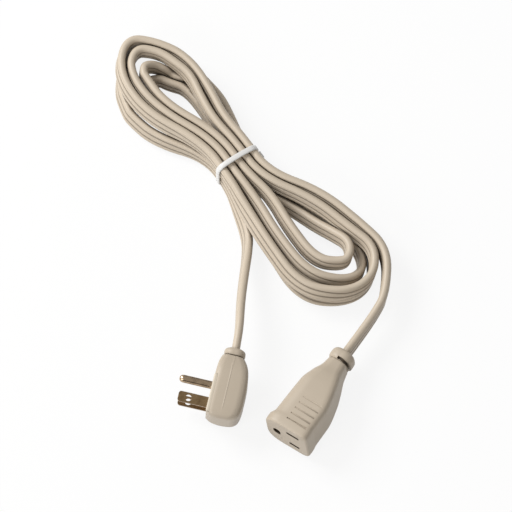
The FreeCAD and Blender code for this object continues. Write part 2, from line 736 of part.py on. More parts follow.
def slot_line(body, name, wide, middle_z):
    half = wide / 2
    thick = z.slot_high / 2
    return outline(body, name, "XZ_Plane",
                   block((z.slots_off - half, middle_z - thick), (z.slots_off + half, middle_z + thick)))


def ground_line(body):
    """The ground hole: round, with a flat towards the slots."""
    sketch = new_sketch(body, "ground_line", "XZ_Plane", 0)
    radius = z.ground_bore.number / 2
    centre = -z.ground_off.number
    angle = math.acos(z.ground_flat.number / radius)
    circle = Part.Circle(vector(centre, 0, 0), UP, radius)
    sketch.addGeometry(Part.ArcOfCircle(circle, angle, 2 * math.pi - angle), False)
    rise = radius * math.sin(angle)
    flat = centre + z.ground_flat.number
    sketch.addGeometry(Part.LineSegment(vector(flat, -rise, 0), vector(flat, rise, 0)), False)
    sketch.addConstraint(Sketcher.Constraint("Coincident", 0, 2, 1, 1))
    sketch.addConstraint(Sketcher.Constraint("Coincident", 1, 2, 0, 1))
    sketch.addConstraint(Sketcher.Constraint("Vertical", 1))
    fix(sketch, 0, 3, (-z.ground_off, 0))
    index = sketch.addConstraint(Sketcher.Constraint("Radius", 0, radius))
    sketch.setExpression("Constraints[%d]" % index, (z.ground_bore / 2).text)
    index = sketch.addConstraint(Sketcher.Constraint("DistanceX", -1, 1, 1, 1, flat))
    sketch.setExpression("Constraints[%d]" % index, (z.ground_flat - z.ground_off).text)
    return sketch


def grips(body, sign):
    """A row of grip grooves across one broad side."""
    floor = (z.face_half - z.grip_deep) * sign
    half = z.grip_long / 2
    thick = z.grip_wide / 2
    name = "grip_top" if sign > 0 else "grip_under"
    line = outline(body, name + "_line", "XY_Plane",
                   block((z.grip_off - half, z.grip_first - thick),
                         (z.grip_off + half, z.grip_first + thick)), floor)
    groove = pocket(body, name + "_groove", line, z.grip_deep * 3, False, sign > 0)
    row = body.newObject("PartDesign::LinearPattern", name + "_row")
    row.Originals = [groove]
    row.Direction = (line, ["V_Axis"])
    bind(row, "Length", z.grip_step * (z.grip_count - 1))
    row.Occurrences = int(z.grip_count.number)
    row.setExpression("Occurrences", z.grip_count.text)
    body.Tip = row


def connector_body():
    body = new_body("connector_body")
    lines = []
    for index, (place, ground, slots, half) in enumerate(outlet_sections()):
        lines.append(rounded(body, "section_%d" % index, (-ground, -half), (slots, half),
                             (half * z.ground_round_share, z.slot_edge), "XZ_Plane", -place))
    bulk = body.newObject("PartDesign::AdditiveLoft", "connector_bulk")
    bulk.Profile = lines[0]
    bulk.Sections = lines[1:]
    bulk.Ruled = True
    doc.recompute()
    grips(body, 1)
    grips(body, -1)
    deep = z.wall_front * 2 + z.carrier_clear * 4
    off = z.slot_spread / 2
    pocket(body, "slot_neutral", slot_line(body, "slot_neutral_line", z.slot_neutral, off), deep)
    pocket(body, "slot_line", slot_line(body, "slot_line_line", z.slot_line, -off), deep)
    pocket(body, "ground_hole", ground_line(body), deep)
    clear = z.carrier_clear
    carrier_end = z.wall_front + z.carrier_long + clear * 2
    seat_line = outline(body, "carrier_room_line", "XY_Plane",
                        block((-z.carrier_left - clear, z.wall_front),
                              (z.carrier_right + clear, carrier_end)))
    pocket(body, "carrier_room", seat_line, (z.carrier_half + clear) * 2)
    back = outline(body, "crimp_room_line", "XY_Plane",
                   block((-z.room_left, carrier_end - 1), (z.room_right, room_end)))
    pocket(body, "crimp_room", back, z.room_half * 2)
    neck_start = outlet_long - z.outlet_neck_deep - z.cord_clear
    throat = outline(body, "throat_line", "XY_Plane",
                     block((-z.throat_x, room_end - 1), (z.throat_x, neck_start + 1)))
    pocket(body, "throat", throat, z.throat_z * 2)
    half = (z.outlet_neck_x / 2 + z.cord_clear, z.outlet_neck_z / 2 + z.cord_clear)
    neck = rounded(body, "neck_bore_line", (-half[0], -half[1]), half, (z.plug_round, z.plug_round),
                   "XZ_Plane", -outlet_long)
    pocket(body, "neck_bore", neck, (z.outlet_neck_deep + z.cord_clear) * 2)
    return seat(body, "outlet")


def contact_carrier():
    start = z.wall_front + z.carrier_clear
    end = start + z.carrier_long
    bulk = box("contact_carrier_bulk", (-z.carrier_left, start, -z.carrier_half),
               (z.carrier_right, end, z.carrier_half))
    half = z.pocket_wide / 2
    high = z.pocket_high / 2
    cuts = [rod("ground_pocket", z.ground_pocket, z.carrier_long * 2, (-z.ground_off, start - 1, 0), "y")]
    for sign in (-1, 1):
        middle = z.slot_spread / 2 * sign
        cuts.append(box("blade_pocket", (z.slots_off - half, start - 1, middle - high),
                        (z.slots_off + half, end + 1, middle + high)))
    return seat(cut("contact_carrier", bulk, cuts), "outlet")


def spring_contact(label, sign):
    """Two leaves that close on a blade, joined at the back."""
    body = new_body(label)
    start = contact_start
    end = contact_end
    leaf = z.contact_leaf
    high = z.contact_high / 2
    grip = z.contact_grip / 2
    mouth = high - z.contact_mouth
    above = [(start, mouth), (start + z.contact_grip_at, grip + leaf), (start + z.contact_grip_end, high),
             (end, high)]
    within = [(end - leaf, high - leaf), (start + z.contact_grip_end, high - leaf),
              (start + z.contact_grip_at, grip), (start, mouth - leaf)]
    corners = above + [(y, -value) for y, value in reversed(above)]
    corners += [(y, -value) for y, value in reversed(within)] + within
    shape = outline(body, label + "_side", "YZ_Plane", corners)
    pad(body, label + "_leaves", shape, z.contact_wide)
    return seat(body, "outlet", (z.slots_off, 0, z.slot_spread / 2 * sign))


def ground_contact():
    """A sleeve for the ground pin, closed at the back."""
    outside = rod("sleeve_outside", z.sleeve_wide, z.sleeve_long, (-z.ground_off, contact_start, 0), "y")
    inside = rod("sleeve_inside", z.sleeve_bore, z.sleeve_long - z.contact_leaf + 1,
                 (-z.ground_off, contact_start - 1, 0), "y")
    return seat(cut("contact_ground", outside, [inside]), "outlet")


# Free stretches of the cord

def in_frame(x, y, height):
    """A point of the layout, in the part's frame."""
    return vector(x - z.origin_x.number, y - z.origin_y.number, height)


def on_axis(housing, distance):
    """A point on the cord's axis in a housing, and the upright direction there."""
    place = housing.Placement
    return place.multVec(vector(0, distance, 0)), place.Rotation.multVec(UP)


def lead(label, points, upright):
    """A free stretch from a housing to the hank, where the cord stands upright."""
    wire, bends = rounded_route(points)
    along = (points[1] - points[0]).normalize()
    arriving = (points[-1] - points[-2]).normalize()
    sections = [cord_section(points[0], along, upright), cord_section(points[-1], arriving, UP)]
    solid = wire.makePipeShell(sections, True, False)
    share = solid.Volume / (section_area() * wire.Length)
    print("%s: radii %s" % (label, " ".join("%.0f" % radius for radius in bends)))
    print("%s: runs %s" % (label, " ".join("%.1f" % (b - a).Length for a, b in zip(points, points[1:]))))
    print("%s: length %.1f, volume share %.4f" % (label, wire.Length, share))
    return feature(label, solid)


def settle(spot, housing):
    """Lowers or raises a housing until its lowest point is on the floor."""
    doc.recompute()
    low = housing.Shape.optimalBoundingBox(False, False).ZMin
    height = sheet.get(spot + "_z") - low
    sheet.set(sheet.getCellFromAlias(spot + "_z"), "%.4f" % height)
    doc.recompute()


keep(tie_strap(), "tie_strap")
keep(tie_head(), "tie_head")

plug = keep(plug_body(), "plug_body")
keep(plug_carrier(), "plug_carrier")
keep(blade("blade_line", -1), "blade_line")
keep(blade("blade_neutral", 1), "blade_neutral")
keep(ground_pin(), "ground_pin")
keep(collar("plug_collar", "plug", measure(0), z.plug_collar_gap, z.plug_collar_long, z.plug_collar_x,
            z.plug_collar_z, (z.plug_neck_x, z.plug_neck_z, z.plug_neck_deep)), "plug_collar")

blade_rise = blade_middle + blade_half + z.blade_tail_high
tail_middle = z.blade_root - z.blade_tail_wide / 2
ring_back = block_back + z.metal_clear * 2 + z.pin_ring_thick
pin_crimp_x = ring_back + z.crimp_wide / 2
for name, side in wire_spots.items():
    jacket = -z.plug_jacket
    strand = z.core_step * side
    if name == "ground":
        start = (pin_crimp_x, pin_middle + z.pin_crimp_back, measure(0))
        bends = ((0, jacket - z.plug_ground_run, 0), (pin_crimp_x, jacket - z.plug_ground_turn, 0))
    else:
        start = (tail_middle, blade_rise, z.blade_spread / 2 * side)
        bends = ((0, jacket - z.plug_side_run, strand), (tail_middle, jacket - z.plug_side_turn, start[2]))
    keep(crimp("plug_crimp_" + name, "plug", start), "plug_crimp_" + name)
    route = ((0, jacket, strand),) + bends + ((start[0], start[1] + z.core_in_crimp, start[2]),)
    core("plug_core_" + name, "plug", route)

outlet = keep(connector_body(), "connector_body")
keep(contact_carrier(), "contact_carrier")
keep(spring_contact("contact_line", -1), "contact_line")
keep(spring_contact("contact_neutral", 1), "contact_neutral")
keep(ground_contact(), "contact_ground")
keep(collar("connector_collar", "outlet", outlet_long, z.collar_gap, z.collar_long, z.collar_x, z.collar_z,
            (z.outlet_neck_x, z.outlet_neck_z, z.outlet_neck_deep)), "connector_collar")
for name, side in wire_spots.items():
    jacket = outlet_long - z.outlet_jacket
    strand = z.core_step * side
    if name == "ground":
        start = (-z.ground_off, sleeve_end, measure(0))
    else:
        start = (z.slots_off, contact_end, z.slot_spread / 2 * side)
    keep(crimp("connector_crimp_" + name, "outlet", start), "connector_crimp_" + name)
    route = ((0, jacket, strand), (0, jacket - z.outlet_core_run, strand),
             (start[0], jacket - z.outlet_core_turn, start[2]),
             (start[0], start[1] + z.core_in_crimp, start[2]))
    core("connector_core_" + name, "outlet", route)

settle("plug", plug)
settle("outlet", outlet)

plug_start, plug_up = on_axis(plug, -z.plug_jacket.number)
plug_exit, _ = on_axis(plug, (z.plug_collar_gap + z.plug_collar_long + z.plug_exit).number)
PLUG_LEAD = ((-9.2, -38.0, 19.0), (-6.8, -15.0, 12.0), (-5.5, -4.2, 8.4))
PLUG_JOIN = 10.0
plug_join = hank_end + lead_out_along * PLUG_JOIN
plug_route = [plug_start, plug_exit] + [in_frame(*point) for point in PLUG_LEAD] + [plug_join, hank_end]
lead("plug_lead", plug_route, plug_up)

outlet_start, outlet_up = on_axis(outlet, (outlet_long - z.outlet_jacket).number)
outlet_exit, _ = on_axis(outlet, (outlet_long + z.collar_gap + z.collar_long + z.outlet_exit).number)
OUTLET_LEAD = ((71.5, -45.0, 15.2),)
OUTLET_JOIN = 11.0
outlet_join = hank_start - lead_in_along * OUTLET_JOIN
outlet_route = [outlet_start, outlet_exit] + [in_frame(*point) for point in OUTLET_LEAD]
outlet_route += [outlet_join, hank_start]
lead("connector_lead", outlet_route, outlet_up)

doc.recompute()
faults = []
for thing in doc.Objects:
    if "Invalid" in thing.State or "Error" in thing.State:
        faults.append("%s is %s" % (thing.Label, thing.State))
for thing in parts:
    if thing.Shape.isNull() or not thing.Shape.isValid() or not thing.Shape.Solids:
        faults.append("%s has no sound shape" % thing.Label)
if faults:
    raise RuntimeError("; ".join(faults))

os.makedirs("parts", exist_ok=True)
for thing in parts:
    thing.Shape.exportStep("parts/%s.step" % thing.Label)
print("%d pieces" % len(parts))
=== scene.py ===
import math
from functools import partial
from itertools import product

import bmesh
import bpy
from bpy.props import FloatProperty, FloatVectorProperty, IntProperty, PointerProperty
from bpy.types import Operator, Panel, PropertyGroup
from mathutils import Euler, Matrix, Vector
from mathutils.bvhtree import BVHTree
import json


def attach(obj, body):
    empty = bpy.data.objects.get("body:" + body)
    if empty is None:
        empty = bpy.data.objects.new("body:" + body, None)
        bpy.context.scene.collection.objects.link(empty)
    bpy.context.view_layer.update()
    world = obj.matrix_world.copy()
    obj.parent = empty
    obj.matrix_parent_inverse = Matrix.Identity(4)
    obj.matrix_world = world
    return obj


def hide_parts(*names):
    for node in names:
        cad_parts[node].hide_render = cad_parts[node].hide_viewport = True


bl_info = {
    "name": "Extension cord",
    "version": (1, 0, 0),
    "blender": (4, 5, 0),
    "location": "View3D > Sidebar > Cord",
    "description": "A flat grounded extension cord in a tied hank, with its plug and its connector",
    "category": "Object",
}

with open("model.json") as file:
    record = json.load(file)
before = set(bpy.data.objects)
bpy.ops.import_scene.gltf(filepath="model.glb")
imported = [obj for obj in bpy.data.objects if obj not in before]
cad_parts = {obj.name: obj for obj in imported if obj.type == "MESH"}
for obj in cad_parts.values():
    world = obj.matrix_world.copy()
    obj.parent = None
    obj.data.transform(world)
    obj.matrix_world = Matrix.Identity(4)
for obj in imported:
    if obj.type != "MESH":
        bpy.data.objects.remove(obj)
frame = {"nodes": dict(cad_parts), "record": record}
MOUNTS = {mount["name"]: mount for mount in frame["record"]["mounts"]}
MM = 0.001

# Lay of the cord on the floor, in millimetres and degrees, as the frame's solids have it: ORIGIN is
# the frame's origin and WAIST the hank's waist, both on the layout that the route is given in
ORIGIN = Vector((6.3869, -99.4747, 0.0))
WAIST = Vector((-11.4, 55.3, 0.0))
WAIST_HEADING = -56.5
WAIST_STEP = 5.45
LIFT = 1.2
LAYER_GAP = 0.5

# How the cord leans: back this way, in full this far from the waist in millimetres, and over this
# length in metres to or from the lean of a housing
LEAN_BACK = (0.55, 0.835)
FULL_LEAN_AT = 45
TURN_AFTER_CONNECTOR = 0.07
TURN_BEFORE_PLUG = 0.1

# How strong the painted shade in a groove is, and how near another strand must come to paint shade
# on the cord, in metres
GROOVE_SHADE = 0.75
CROWD_REACH = 6 * MM

# Prongs and the openings for them, in a housing's own frame, in millimetres: how far a blade's
# middle is from the housing's, the pin's place along the plug, the openings' places across the
# connector, and their growth by depth. Then the connector's length, and the radius of its small
# end and of the plug's
BLADE_OFF = 6.35
PIN_ROW = -19.2
SLOT_ROW = 6.5
HOLE_ROW = -5.4
MOUTH = ((-1.0, 0.2), (-0.02, 0.15), (0.15, 0.0), (4.0, 0.0))
CONNECTOR_LONG = 56.0
END_ROUND = 0.45

# Colours that no user would change
# The blades' brass and its tarnish are darker than the pin's: painted shade for the darker
# reflections of the flat blades
SHADED_BLADE_BRASS = (0.44, 0.3, 0.16)
SHADED_BLADE_TARNISH = (0.17, 0.1, 0.045)
COPPER = (0.71, 0.38, 0.24)
COPPER_DARK = (0.42, 0.2, 0.12)

# The camera, as it stood for the photograph: degrees above the floor, metres and millimetres
TILT = 66.0
DISTANCE = 3.0
SENSOR = 36.0
PHOTO_PIXELS = 512
PIXELS_PER_MM = 1.65

# Light from all round, and the share of pure white in the floor as the camera sees it
SKY = 0.38
FLOOR_WHITE = 0.87


# Shader maths and materials

class Number:
    """A number that a node gives; arithmetic on it adds Math nodes."""

    def __init__(self, finish, socket):
        self.finish = finish
        self.socket = socket

    def apply(self, operation, first, second, clamp=False):
        made = self.finish.node("ShaderNodeMath", {"operation": operation, "use_clamp": clamp},
                                {0: first, 1: second})
        return Number(self.finish, made.outputs[0])

    def __add__(self, other):
        return self.apply("ADD", self, other)

    def __radd__(self, other):
        return self.apply("ADD", other, self)

    def __sub__(self, other):
        return self.apply("SUBTRACT", self, other)

    def __rsub__(self, other):
        return self.apply("SUBTRACT", other, self)

    def __mul__(self, other):
        return self.apply("MULTIPLY", self, other)

    def __rmul__(self, other):
        return self.apply("MULTIPLY", other, self)

    def clamped(self):
        return self.apply("ADD", self, 0.0, clamp=True)


def new_node(tree, kind, settings=None, values=None):
    """A node of any kind: its settings first, and then the values or links of its sockets."""
    made = tree.nodes.new(kind)
    for name, setting in (settings or {}).items():
        setattr(made, name, setting)
    for name, value in (values or {}).items():
        socket = made.inputs[name]
        if isinstance(value, Number):
            value = value.socket
        if isinstance(value, bpy.types.NodeSocket):
            tree.links.new(value, socket)
        else:
            socket.default_value = value
    return made


class Finish:
    """A material under way: its nodes, and the surface that they end in."""

    def __init__(self, name):
        self.material = bpy.data.materials.new(name)
        self.material.use_nodes = True
        self.tree = self.material.node_tree
        self.tree.nodes.clear()
        self.place = self.node("ShaderNodeTexCoord").outputs["Object"]

    def node(self, kind, settings=None, values=None):
        return new_node(self.tree, kind, settings, values)

    def noise(self, scale, detail, rough, place=None):
        made = self.node("ShaderNodeTexNoise", {}, {
            "Vector": place or self.place, "Scale": scale, "Detail": detail, "Roughness": rough})
        return Number(self, made.outputs["Fac"])

    def stretched(self, scale):
        """The piece's coordinates with a scale of their own along each axis."""
        made = self.node("ShaderNodeMapping", {}, {"Vector": self.place, "Scale": scale})
        return made.outputs["Vector"]

    def shade(self):
        """How dark the mesh is marked; 0 on a mesh without marks."""
        made = self.node("ShaderNodeAttribute", {"attribute_name": "shade"})
        return Number(self, made.outputs["Fac"])

    def blend(self, share, first, second):
        """A colour between two, by share; each is three numbers or a link."""
        colours = {socket: (*colour, 1.0) if isinstance(colour, tuple) else colour
                   for socket, colour in ((6, first), (7, second))}
        made = self.node("ShaderNodeMix", {"data_type": "RGBA"}, {0: share, **colours})
        return made.outputs[2]

    def bump(self, height, distance, strength, under=None):
        values = {"Height": height, "Distance": distance, "Strength": strength}
        if under is not None:
            values["Normal"] = under
        return self.node("ShaderNodeBump", {}, values).outputs["Normal"]

    def surface(self, **values):
        """The material with its shader; the names are its sockets', with _ for a space."""
        names = {name.replace("_", " "): value for name, value in values.items()}
        shader = self.node("ShaderNodeBsdfPrincipled", {}, names)
        self.node("ShaderNodeOutputMaterial", {}, {"Surface": shader.outputs[0]})
        return self.material


def tinted(colour, factor):
    return tuple(part * factor for part in colour)


def in_shadow(colour):
    """The colour of vinyl deep in a gap, where it looks darker and redder."""
    return tuple(part ** 3 * 0.33 for part in colour)


def moulded_vinyl(name, colour, mottle=0.05, rough=0.46, seam=0.0):
    """Soft satin vinyl: faint flow marks, specks, a fine skin, and painted shade where the mesh is
    marked, as strong as seam.
    """
    finish = Finish(name)
    flow = finish.noise(55.0, 3.0, 0.55)
    speck = finish.noise(900.0, 2.0, 0.6)
    skin = finish.noise(2600.0, 2.0, 0.5)
    tone = finish.blend(flow, tinted(colour, 1.0 - mottle), tinted(colour, 1.0 + mottle))
    tone = finish.blend(speck * 0.12, tone, tinted(colour, 0.86))
    # Painted shade: seam sets how far the vinyl darkens towards in_shadow where the mesh is marked
    # with shade
    if seam:
        tone = finish.blend(finish.shade() * seam, tone, in_shadow(colour))
    normal = finish.bump(skin, 0.00006, 0.35)
    normal = finish.bump(flow, 0.0004, 0.12, normal)
    return finish.surface(Base_Color=tone, Normal=normal, Specular_IOR_Level=0.42,
                          Roughness=rough + 0.1 * (flow - 0.5) + 0.06 * (speck - 0.5))


def formed_brass(name, colour, dark, rough=0.2):
    """Rolled brass: draw lines along the piece, tarnish, and painted shade in the creases where it
    is folded.
    """
    finish = Finish(name)
    lines = finish.noise(1.0, 3.0, 0.6, finish.stretched((90.0, 1400.0, 1400.0)))
    tarnish = finish.noise(240.0, 4.0, 0.6)
    tone = finish.blend(((tarnish - 0.42) * 3.0).clamped(), colour, dark)
    tone = finish.blend(lines * 0.3, tone, tinted(colour, 0.6))
    # Painted shade: dark along the folds, where the mesh is marked with shade
    tone = finish.blend(finish.shade() * 0.85, tone, tinted(dark, 0.25))
    normal = finish.bump(lines, 0.00005, 0.35)
    return finish.surface(Base_Color=tone, Metallic=1.0, Normal=normal,
                          Roughness=rough + 0.22 * (tarnish - 0.4) + 0.08 * lines)


def nylon(name, colour):
    """Natural nylon: whitish, slightly waxy, with draw marks along the strap."""
    finish = Finish(name)
    cloud = finish.noise(180.0, 3.0, 0.5)
    lines = finish.noise(1.0, 2.0, 0.5, finish.stretched((700.0, 700.0, 2400.0)))
    tone = finish.blend(cloud, tinted(colour, 0.95), tinted(colour, 1.03))
    normal = finish.bump(lines, 0.00005, 0.3)
    return finish.surface(Base_Color=tone, Roughness=0.36 + 0.12 * (cloud - 0.5), Normal=normal,
                          Coat_Weight=0.08 + 0.06 * cloud, Coat_Roughness=0.3)


# Meshes

def linked(name, data):
    """A new object in the scene."""
    made = bpy.data.objects.new(name, data)
    bpy.context.scene.collection.objects.link(made)
    return made


def smoothed(mesh, angle):
    """Makes a mesh smooth but for its edges sharper than an angle in degrees."""
    for face in mesh.polygons:
        face.use_smooth = True
    mesh.set_sharp_from_angle(angle=math.radians(angle))


def piece_from(name, mesh, smooth=35.0):
    """A piece with its place in its mesh, smooth but for its sharp edges."""
    if smooth:
        smoothed(mesh, smooth)
    return linked(name, mesh)


def baked(piece):
    """The piece with its modifiers worked into its mesh."""
    graph = bpy.context.evaluated_depsgraph_get()
    mesh = bpy.data.meshes.new_from_object(piece.evaluated_get(graph))
    piece.modifiers.clear()
    old = piece.data
    piece.data = mesh
    mesh.name = piece.name
    bpy.data.meshes.remove(old)
    return piece


def coated(piece, material):
    """Gives a piece or a node of the frame one material."""
    piece.data.materials.clear()
    piece.data.materials.append(material)


def mesh_from(name, shape, place=None):
    """The mesh of a closed shape, with its faces outwards and in its place."""
    bmesh.ops.recalc_face_normals(shape, faces=shape.faces)
    mesh = bpy.data.meshes.new(name)
    shape.to_mesh(mesh)
    shape.free()
    if place is not None:
        mesh.transform(place)
    return mesh


def mesh_of(name, rings, closed=False, place=None):
    """A skin over rings of points; ends are capped unless the rings close on each other."""
    shape = bmesh.new()
    made = [[shape.verts.new(point) for point in ring] for ring in rings]
    pairs = list(zip(made, made[1:]))
    if closed:
        pairs.append((made[-1], made[0]))
    for near, far in pairs:
        for index, start in enumerate(near):
            after = (index + 1) % len(near)
            shape.faces.new((start, near[after], far[after], far[index]))
    if not closed:
        shape.faces.new(made[0])
        shape.faces.new(list(reversed(made[-1])))
    return mesh_from(name, shape, place)


def solid(name, rings, place, smooth=35.0):
    """A closed piece over rings of points in a housing's own frame."""
    return piece_from(name, mesh_of(name, rings, False, place), smooth)


def eased(knots, at):
    """A smooth value at a place, through knots of place and value."""
    if at <= knots[0][0]:
        return knots[0][1]
    if at >= knots[-1][0]:
        return knots[-1][1]
    slopes = [(b[1] - a[1]) / (b[0] - a[0]) for a, b in zip(knots, knots[1:])]
    tangents = [slopes[0]]
    for before, after in zip(slopes, slopes[1:]):
        tangents.append(0.0 if before * after <= 0 else 2 * before * after / (before + after))
    tangents.append(slopes[-1])
    index = next(index for index, knot in enumerate(knots[1:]) if at <= knot[0])
    start, end = knots[index:index + 2]
    span = end[0] - start[0]
    share = (at - start[0]) / span
    rest = 1 - share
    return (start[1] * (1 + 2 * share) * rest * rest + end[1] * share * share * (3 - 2 * share)
            + span * share * rest * (tangents[index] * rest - tangents[index + 1] * share))


def quarter(x, y, radius, start, steps=range(1, 8)):
    """Points on a quarter of a circle from an angle on, at eighths of the quarter."""
    angles = [math.radians(start + 90 * step / 8) for step in steps]
    return [(x + radius * math.cos(angle), y + radius * math.sin(angle)) for angle in angles]


def circle(x, y, radius, count):
    angles = [math.tau * step / count for step in range(count)]
    return [(x + radius * math.cos(angle), y + radius * math.sin(angle)) for angle in angles]


def rounded_ring(at, low, high, half, low_round, high_round, crown=0.0, seam=None, ridge=0.0):
    """A rounded rectangle across Y, from low to high in X and half each way in Z.

    Its broad sides bulge by crown, and carry a ridge at seam. Its corners leave some of each side.
    """
    low_round = min(low_round, half * 0.98, (high - low) * 0.48)
    high_round = min(high_round, half * 0.98, (high - low) * 0.48)
    middle = (low + high) / 2
    reach = (high - low) / 2
    flat = high - low - low_round - high_round
    top = [low + low_round + flat * step / 10 for step in range(11)]
    if seam is not None:
        spot = min(max(seam, top[1]), top[-2])
        top = sorted(top + [spot - 0.22, spot, spot + 0.22])

    def rise(x):
        lift = crown * (1 - ((x - middle) / reach) ** 2)
        if seam is not None and abs(x - spot) < 0.01:
            lift += ridge
        return half + lift

    high_side, low_side = half - high_round, half - low_round
    points = [(x, -rise(x)) for x in top]
    points += quarter(high - high_round, -half + high_round, high_round, -90)
    points += [(high, -high_side + 2 * high_side * step / 6) for step in range(7)]
    points += quarter(high - high_round, half - high_round, high_round, 0)
    points += [(x, rise(x)) for x in reversed(top)]
    points += quarter(low + low_round, half - low_round, low_round, 90)
    points += [(low, low_side - 2 * low_side * step / 6) for step in range(7)]
    points += quarter(low + low_round, -half + low_round, low_round, 180)
    return [Vector((x, at, height)) for x, height in points]


def box_between(name, low, high, place):
    """A plain closed box between two corners."""
    shape = bmesh.new()
    corners = [shape.verts.new([(low, high)[end][axis] for axis, end in enumerate(ends)])
               for ends in product((0, 1), repeat=3)]
    for side in ((0, 2, 6, 4), (1, 5, 7, 3), (0, 4, 5, 1), (2, 3, 7, 6), (0, 1, 3, 2),
                 (4, 6, 7, 5)):
        shape.faces.new([corners[number] for number in side])
    return piece_from(name, mesh_from(name, shape, place), 0)


def prism_along(name, outline, stations, place):
    """A closed solid with one outline in X and Z at places along Y, each with its own growth."""
    middle_x = sum(x for x, _ in outline) / len(outline)
    middle_z = sum(height for _, height in outline) / len(outline)
    rings = []
    for at, grow in stations:
        ring = []
        for x, height in outline:
            away = Vector((x - middle_x, height - middle_z)).normalized() * grow
            ring.append(Vector((x + away.x, at, height + away.y)))
        rings.append(ring)
    return solid(name, rings, place, 0)


def stub(name, ends, reach, half, corner, place):
    """A straight bar along Y between two ends, with rounded corners."""
    rings = [rounded_ring(at, -reach, reach, half, corner, corner) for at in ends]
    return solid(name, rings, place, 0)


def bend_relief(name, sections, share, place):
    """A bend relief ring over sections of place, low, high and half height.

    Its corners' radius is a share of the half height.
    """
    rings = [rounded_ring(at, low, high, half, half * share, half * share)
             for at, low, high, half in sections]
    return solid(name, rings, place)


def cord_bore(start, end, place):
    """A cutter the shape of the cord, with a little room."""
    return stub("bore", (start, end), 2.53, 5.28, 2.5, place)


def end_trim(at, end):
    """How far a housing draws in just before its rounded end."""
    start = end - END_ROUND
    if at <= start:
        return 0.0
    return END_ROUND * (1 - math.sqrt(max(0.0, 1 - ((at - start) / END_ROUND) ** 2)))


def carve(piece, cutters, operation="DIFFERENCE"):
    """Takes cutters out of a piece, or adds them, and removes them with their meshes."""
    for cutter in cutters:
        step = piece.modifiers.new("cut", "BOOLEAN")
        step.operation = operation
        step.solver = "EXACT"
        step.object = cutter
    baked(piece)
    for cutter in cutters:
        bpy.data.meshes.remove(cutter.data)
    smoothed(piece.data, 32)
    return piece


def shaded(piece, place, share_at):
    """Marks how dark a piece is at each vertex, from that vertex in the housing's own frame."""
    own = place.inverted()
    layer = piece.data.attributes.new("shade", "FLOAT", "POINT")
    layer.data.foreach_set("value", [share_at(own @ vertex.co) for vertex in piece.data.vertices])
    return piece


def finished(piece, material, slot, *nodes):
    """Gives a piece its material and its place in the frame, for the nodes that it stands for."""
    coated(piece, material)
    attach(piece, "root")
    if nodes:
        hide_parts(*nodes)


# Places of the plug and the connector

def housing_place(mount, spot, yaw, pitch, roll):
    """A housing's own frame, in millimetres, found from a mount and where that lies in it."""
    angles = (math.radians(roll), math.radians(pitch), math.radians(yaw))
    turn = Euler(angles, "XYZ").to_matrix().to_4x4()
    base = Vector(MOUNTS[mount]["pos_m"]) - turn.to_3x3() @ Vector(spot) * MM
    return Matrix.Translation(base) @ turn @ Matrix.Diagonal((MM, MM, MM, 1.0))


PLUG = housing_place("ground_pin", (-17.6, PIN_ROW, 0.0), -12.8, 3.5, 11.0)
OUTLET = housing_place("connector_face", (0.5, 0.0, 0.0), -35.2, -7.0, 0.0)


# Cord route

def layout(x, y, height):
    """A point of the layout, in the frame, in metres."""
    return (Vector((x, y, height)) - ORIGIN) * MM


# The route of the hank from the connector's end to the plug's end, measured from its waist: X, Y,
# heading, layer and slope of a place, or side, slot and layer of a crossing of the waist
HANK_ROUTE = [
    # Outermost turn, on top
    (89.8, -72.5, 87, 1), (63.4, -33.4, 139, 1), ("far", 2, 1),
    (-13, 37.8, 115.5, 1), (-33.1, 68.7, 137, 1), (-56.2, 80.5, 171, 1),
    (-67.2, 48, 302, 1), ("near", -2, 1), (7.2, -36.6, 299, 1),
    (56, -87.5, 352, 1), (82.3, -68.5, 87, 1),
    # Next turn in, on top, which drops at its right end
    (59.3, -38.6, 139, 1), ("far", 1, 1), (-19.1, 36.4, 117, 1),
    (-34.9, 62.8, 137, 1), (-54.2, 74.1, 170, 1), (-62.2, 51.3, 304, 1),
    ("near", -1, 1), (15.2, -35.5, 298, 1), (57.5, -78, 352, 0.72, -10),
    (75.2, -64.4, 92, 0.1, -10),
    # Innermost turn, which climbs at its left end
    (58.3, -39.6, 139, 0), (34.2, -21.4, 145, 0), ("far", 1, 0),
    (-13.3, 37.2, 117, 0), (-27.3, 57.2, 134, 0), (-39, 62, 153, 0, 4),
    (-47.6, 65.2, 167, 0.42, 25), (-57.6, 59.7, 266, 0.98, 5),
    (-56.1, 54.9, 303.2, 1), ("near", 0, 1), (25, -33, 298, 1),
    (59.6, -68.2, 352, 1), (67.5, -59.7, 98, 0.97, -8),
    # Lower turn, which borders the left hole
    (53.6, -43.6, 143, 0.45, -16), (29.5, -25, 146, 0), ("far", 0, 0),
    (-19.9, 36.8, 122, 0), (-31.3, 51.9, 136, 0), (-41.8, 56.8, 159, 0),
    (-49, 59.4, 184, 0), (-58, 48, 303, 0), ("near", -1, 0),
    (11.2, -37, 299, 0), (56, -86.5, 352, 0), (81.2, -67, 88, 0),
    # Lower turn on the outside, which leads out to the plug
    (63.9, -32.6, 140, 0), (39.1, -17.4, 146, 0), ("far", 2, 0),
    (-7.6, 40.2, 115, 0), (-23.6, 61.6, 131, 0), (-54.5, 79.3, 172, 0),
    (-69, 42.4, 288, 0), (-62.8, 31.8, 316, 0), ("near", -2, 0),
    (1.8, -31.5, -72, 0),
]


def station(width, x, y, heading, layer, slope=0.0):
    """A place on the hank, measured from its waist, and the way that the cord runs there."""
    turn = math.radians(heading)
    rise = math.radians(slope)
    along = Vector((math.cos(turn) * math.cos(rise), math.sin(turn) * math.cos(rise),
                    math.sin(rise)))
    return WAIST + Vector((x, y, LIFT + width / 2 + layer * (width + LAYER_GAP))), along


def at_waist(width, side, slot, layer):
    """A crossing of the waist; near strands run along its heading and far ones back."""
    across = math.radians(WAIST_HEADING + 90)
    off = slot * WAIST_STEP
    travel = WAIST_HEADING if side == "near" else WAIST_HEADING + 180
    return station(width, off * math.cos(across), off * math.sin(across), travel, layer)


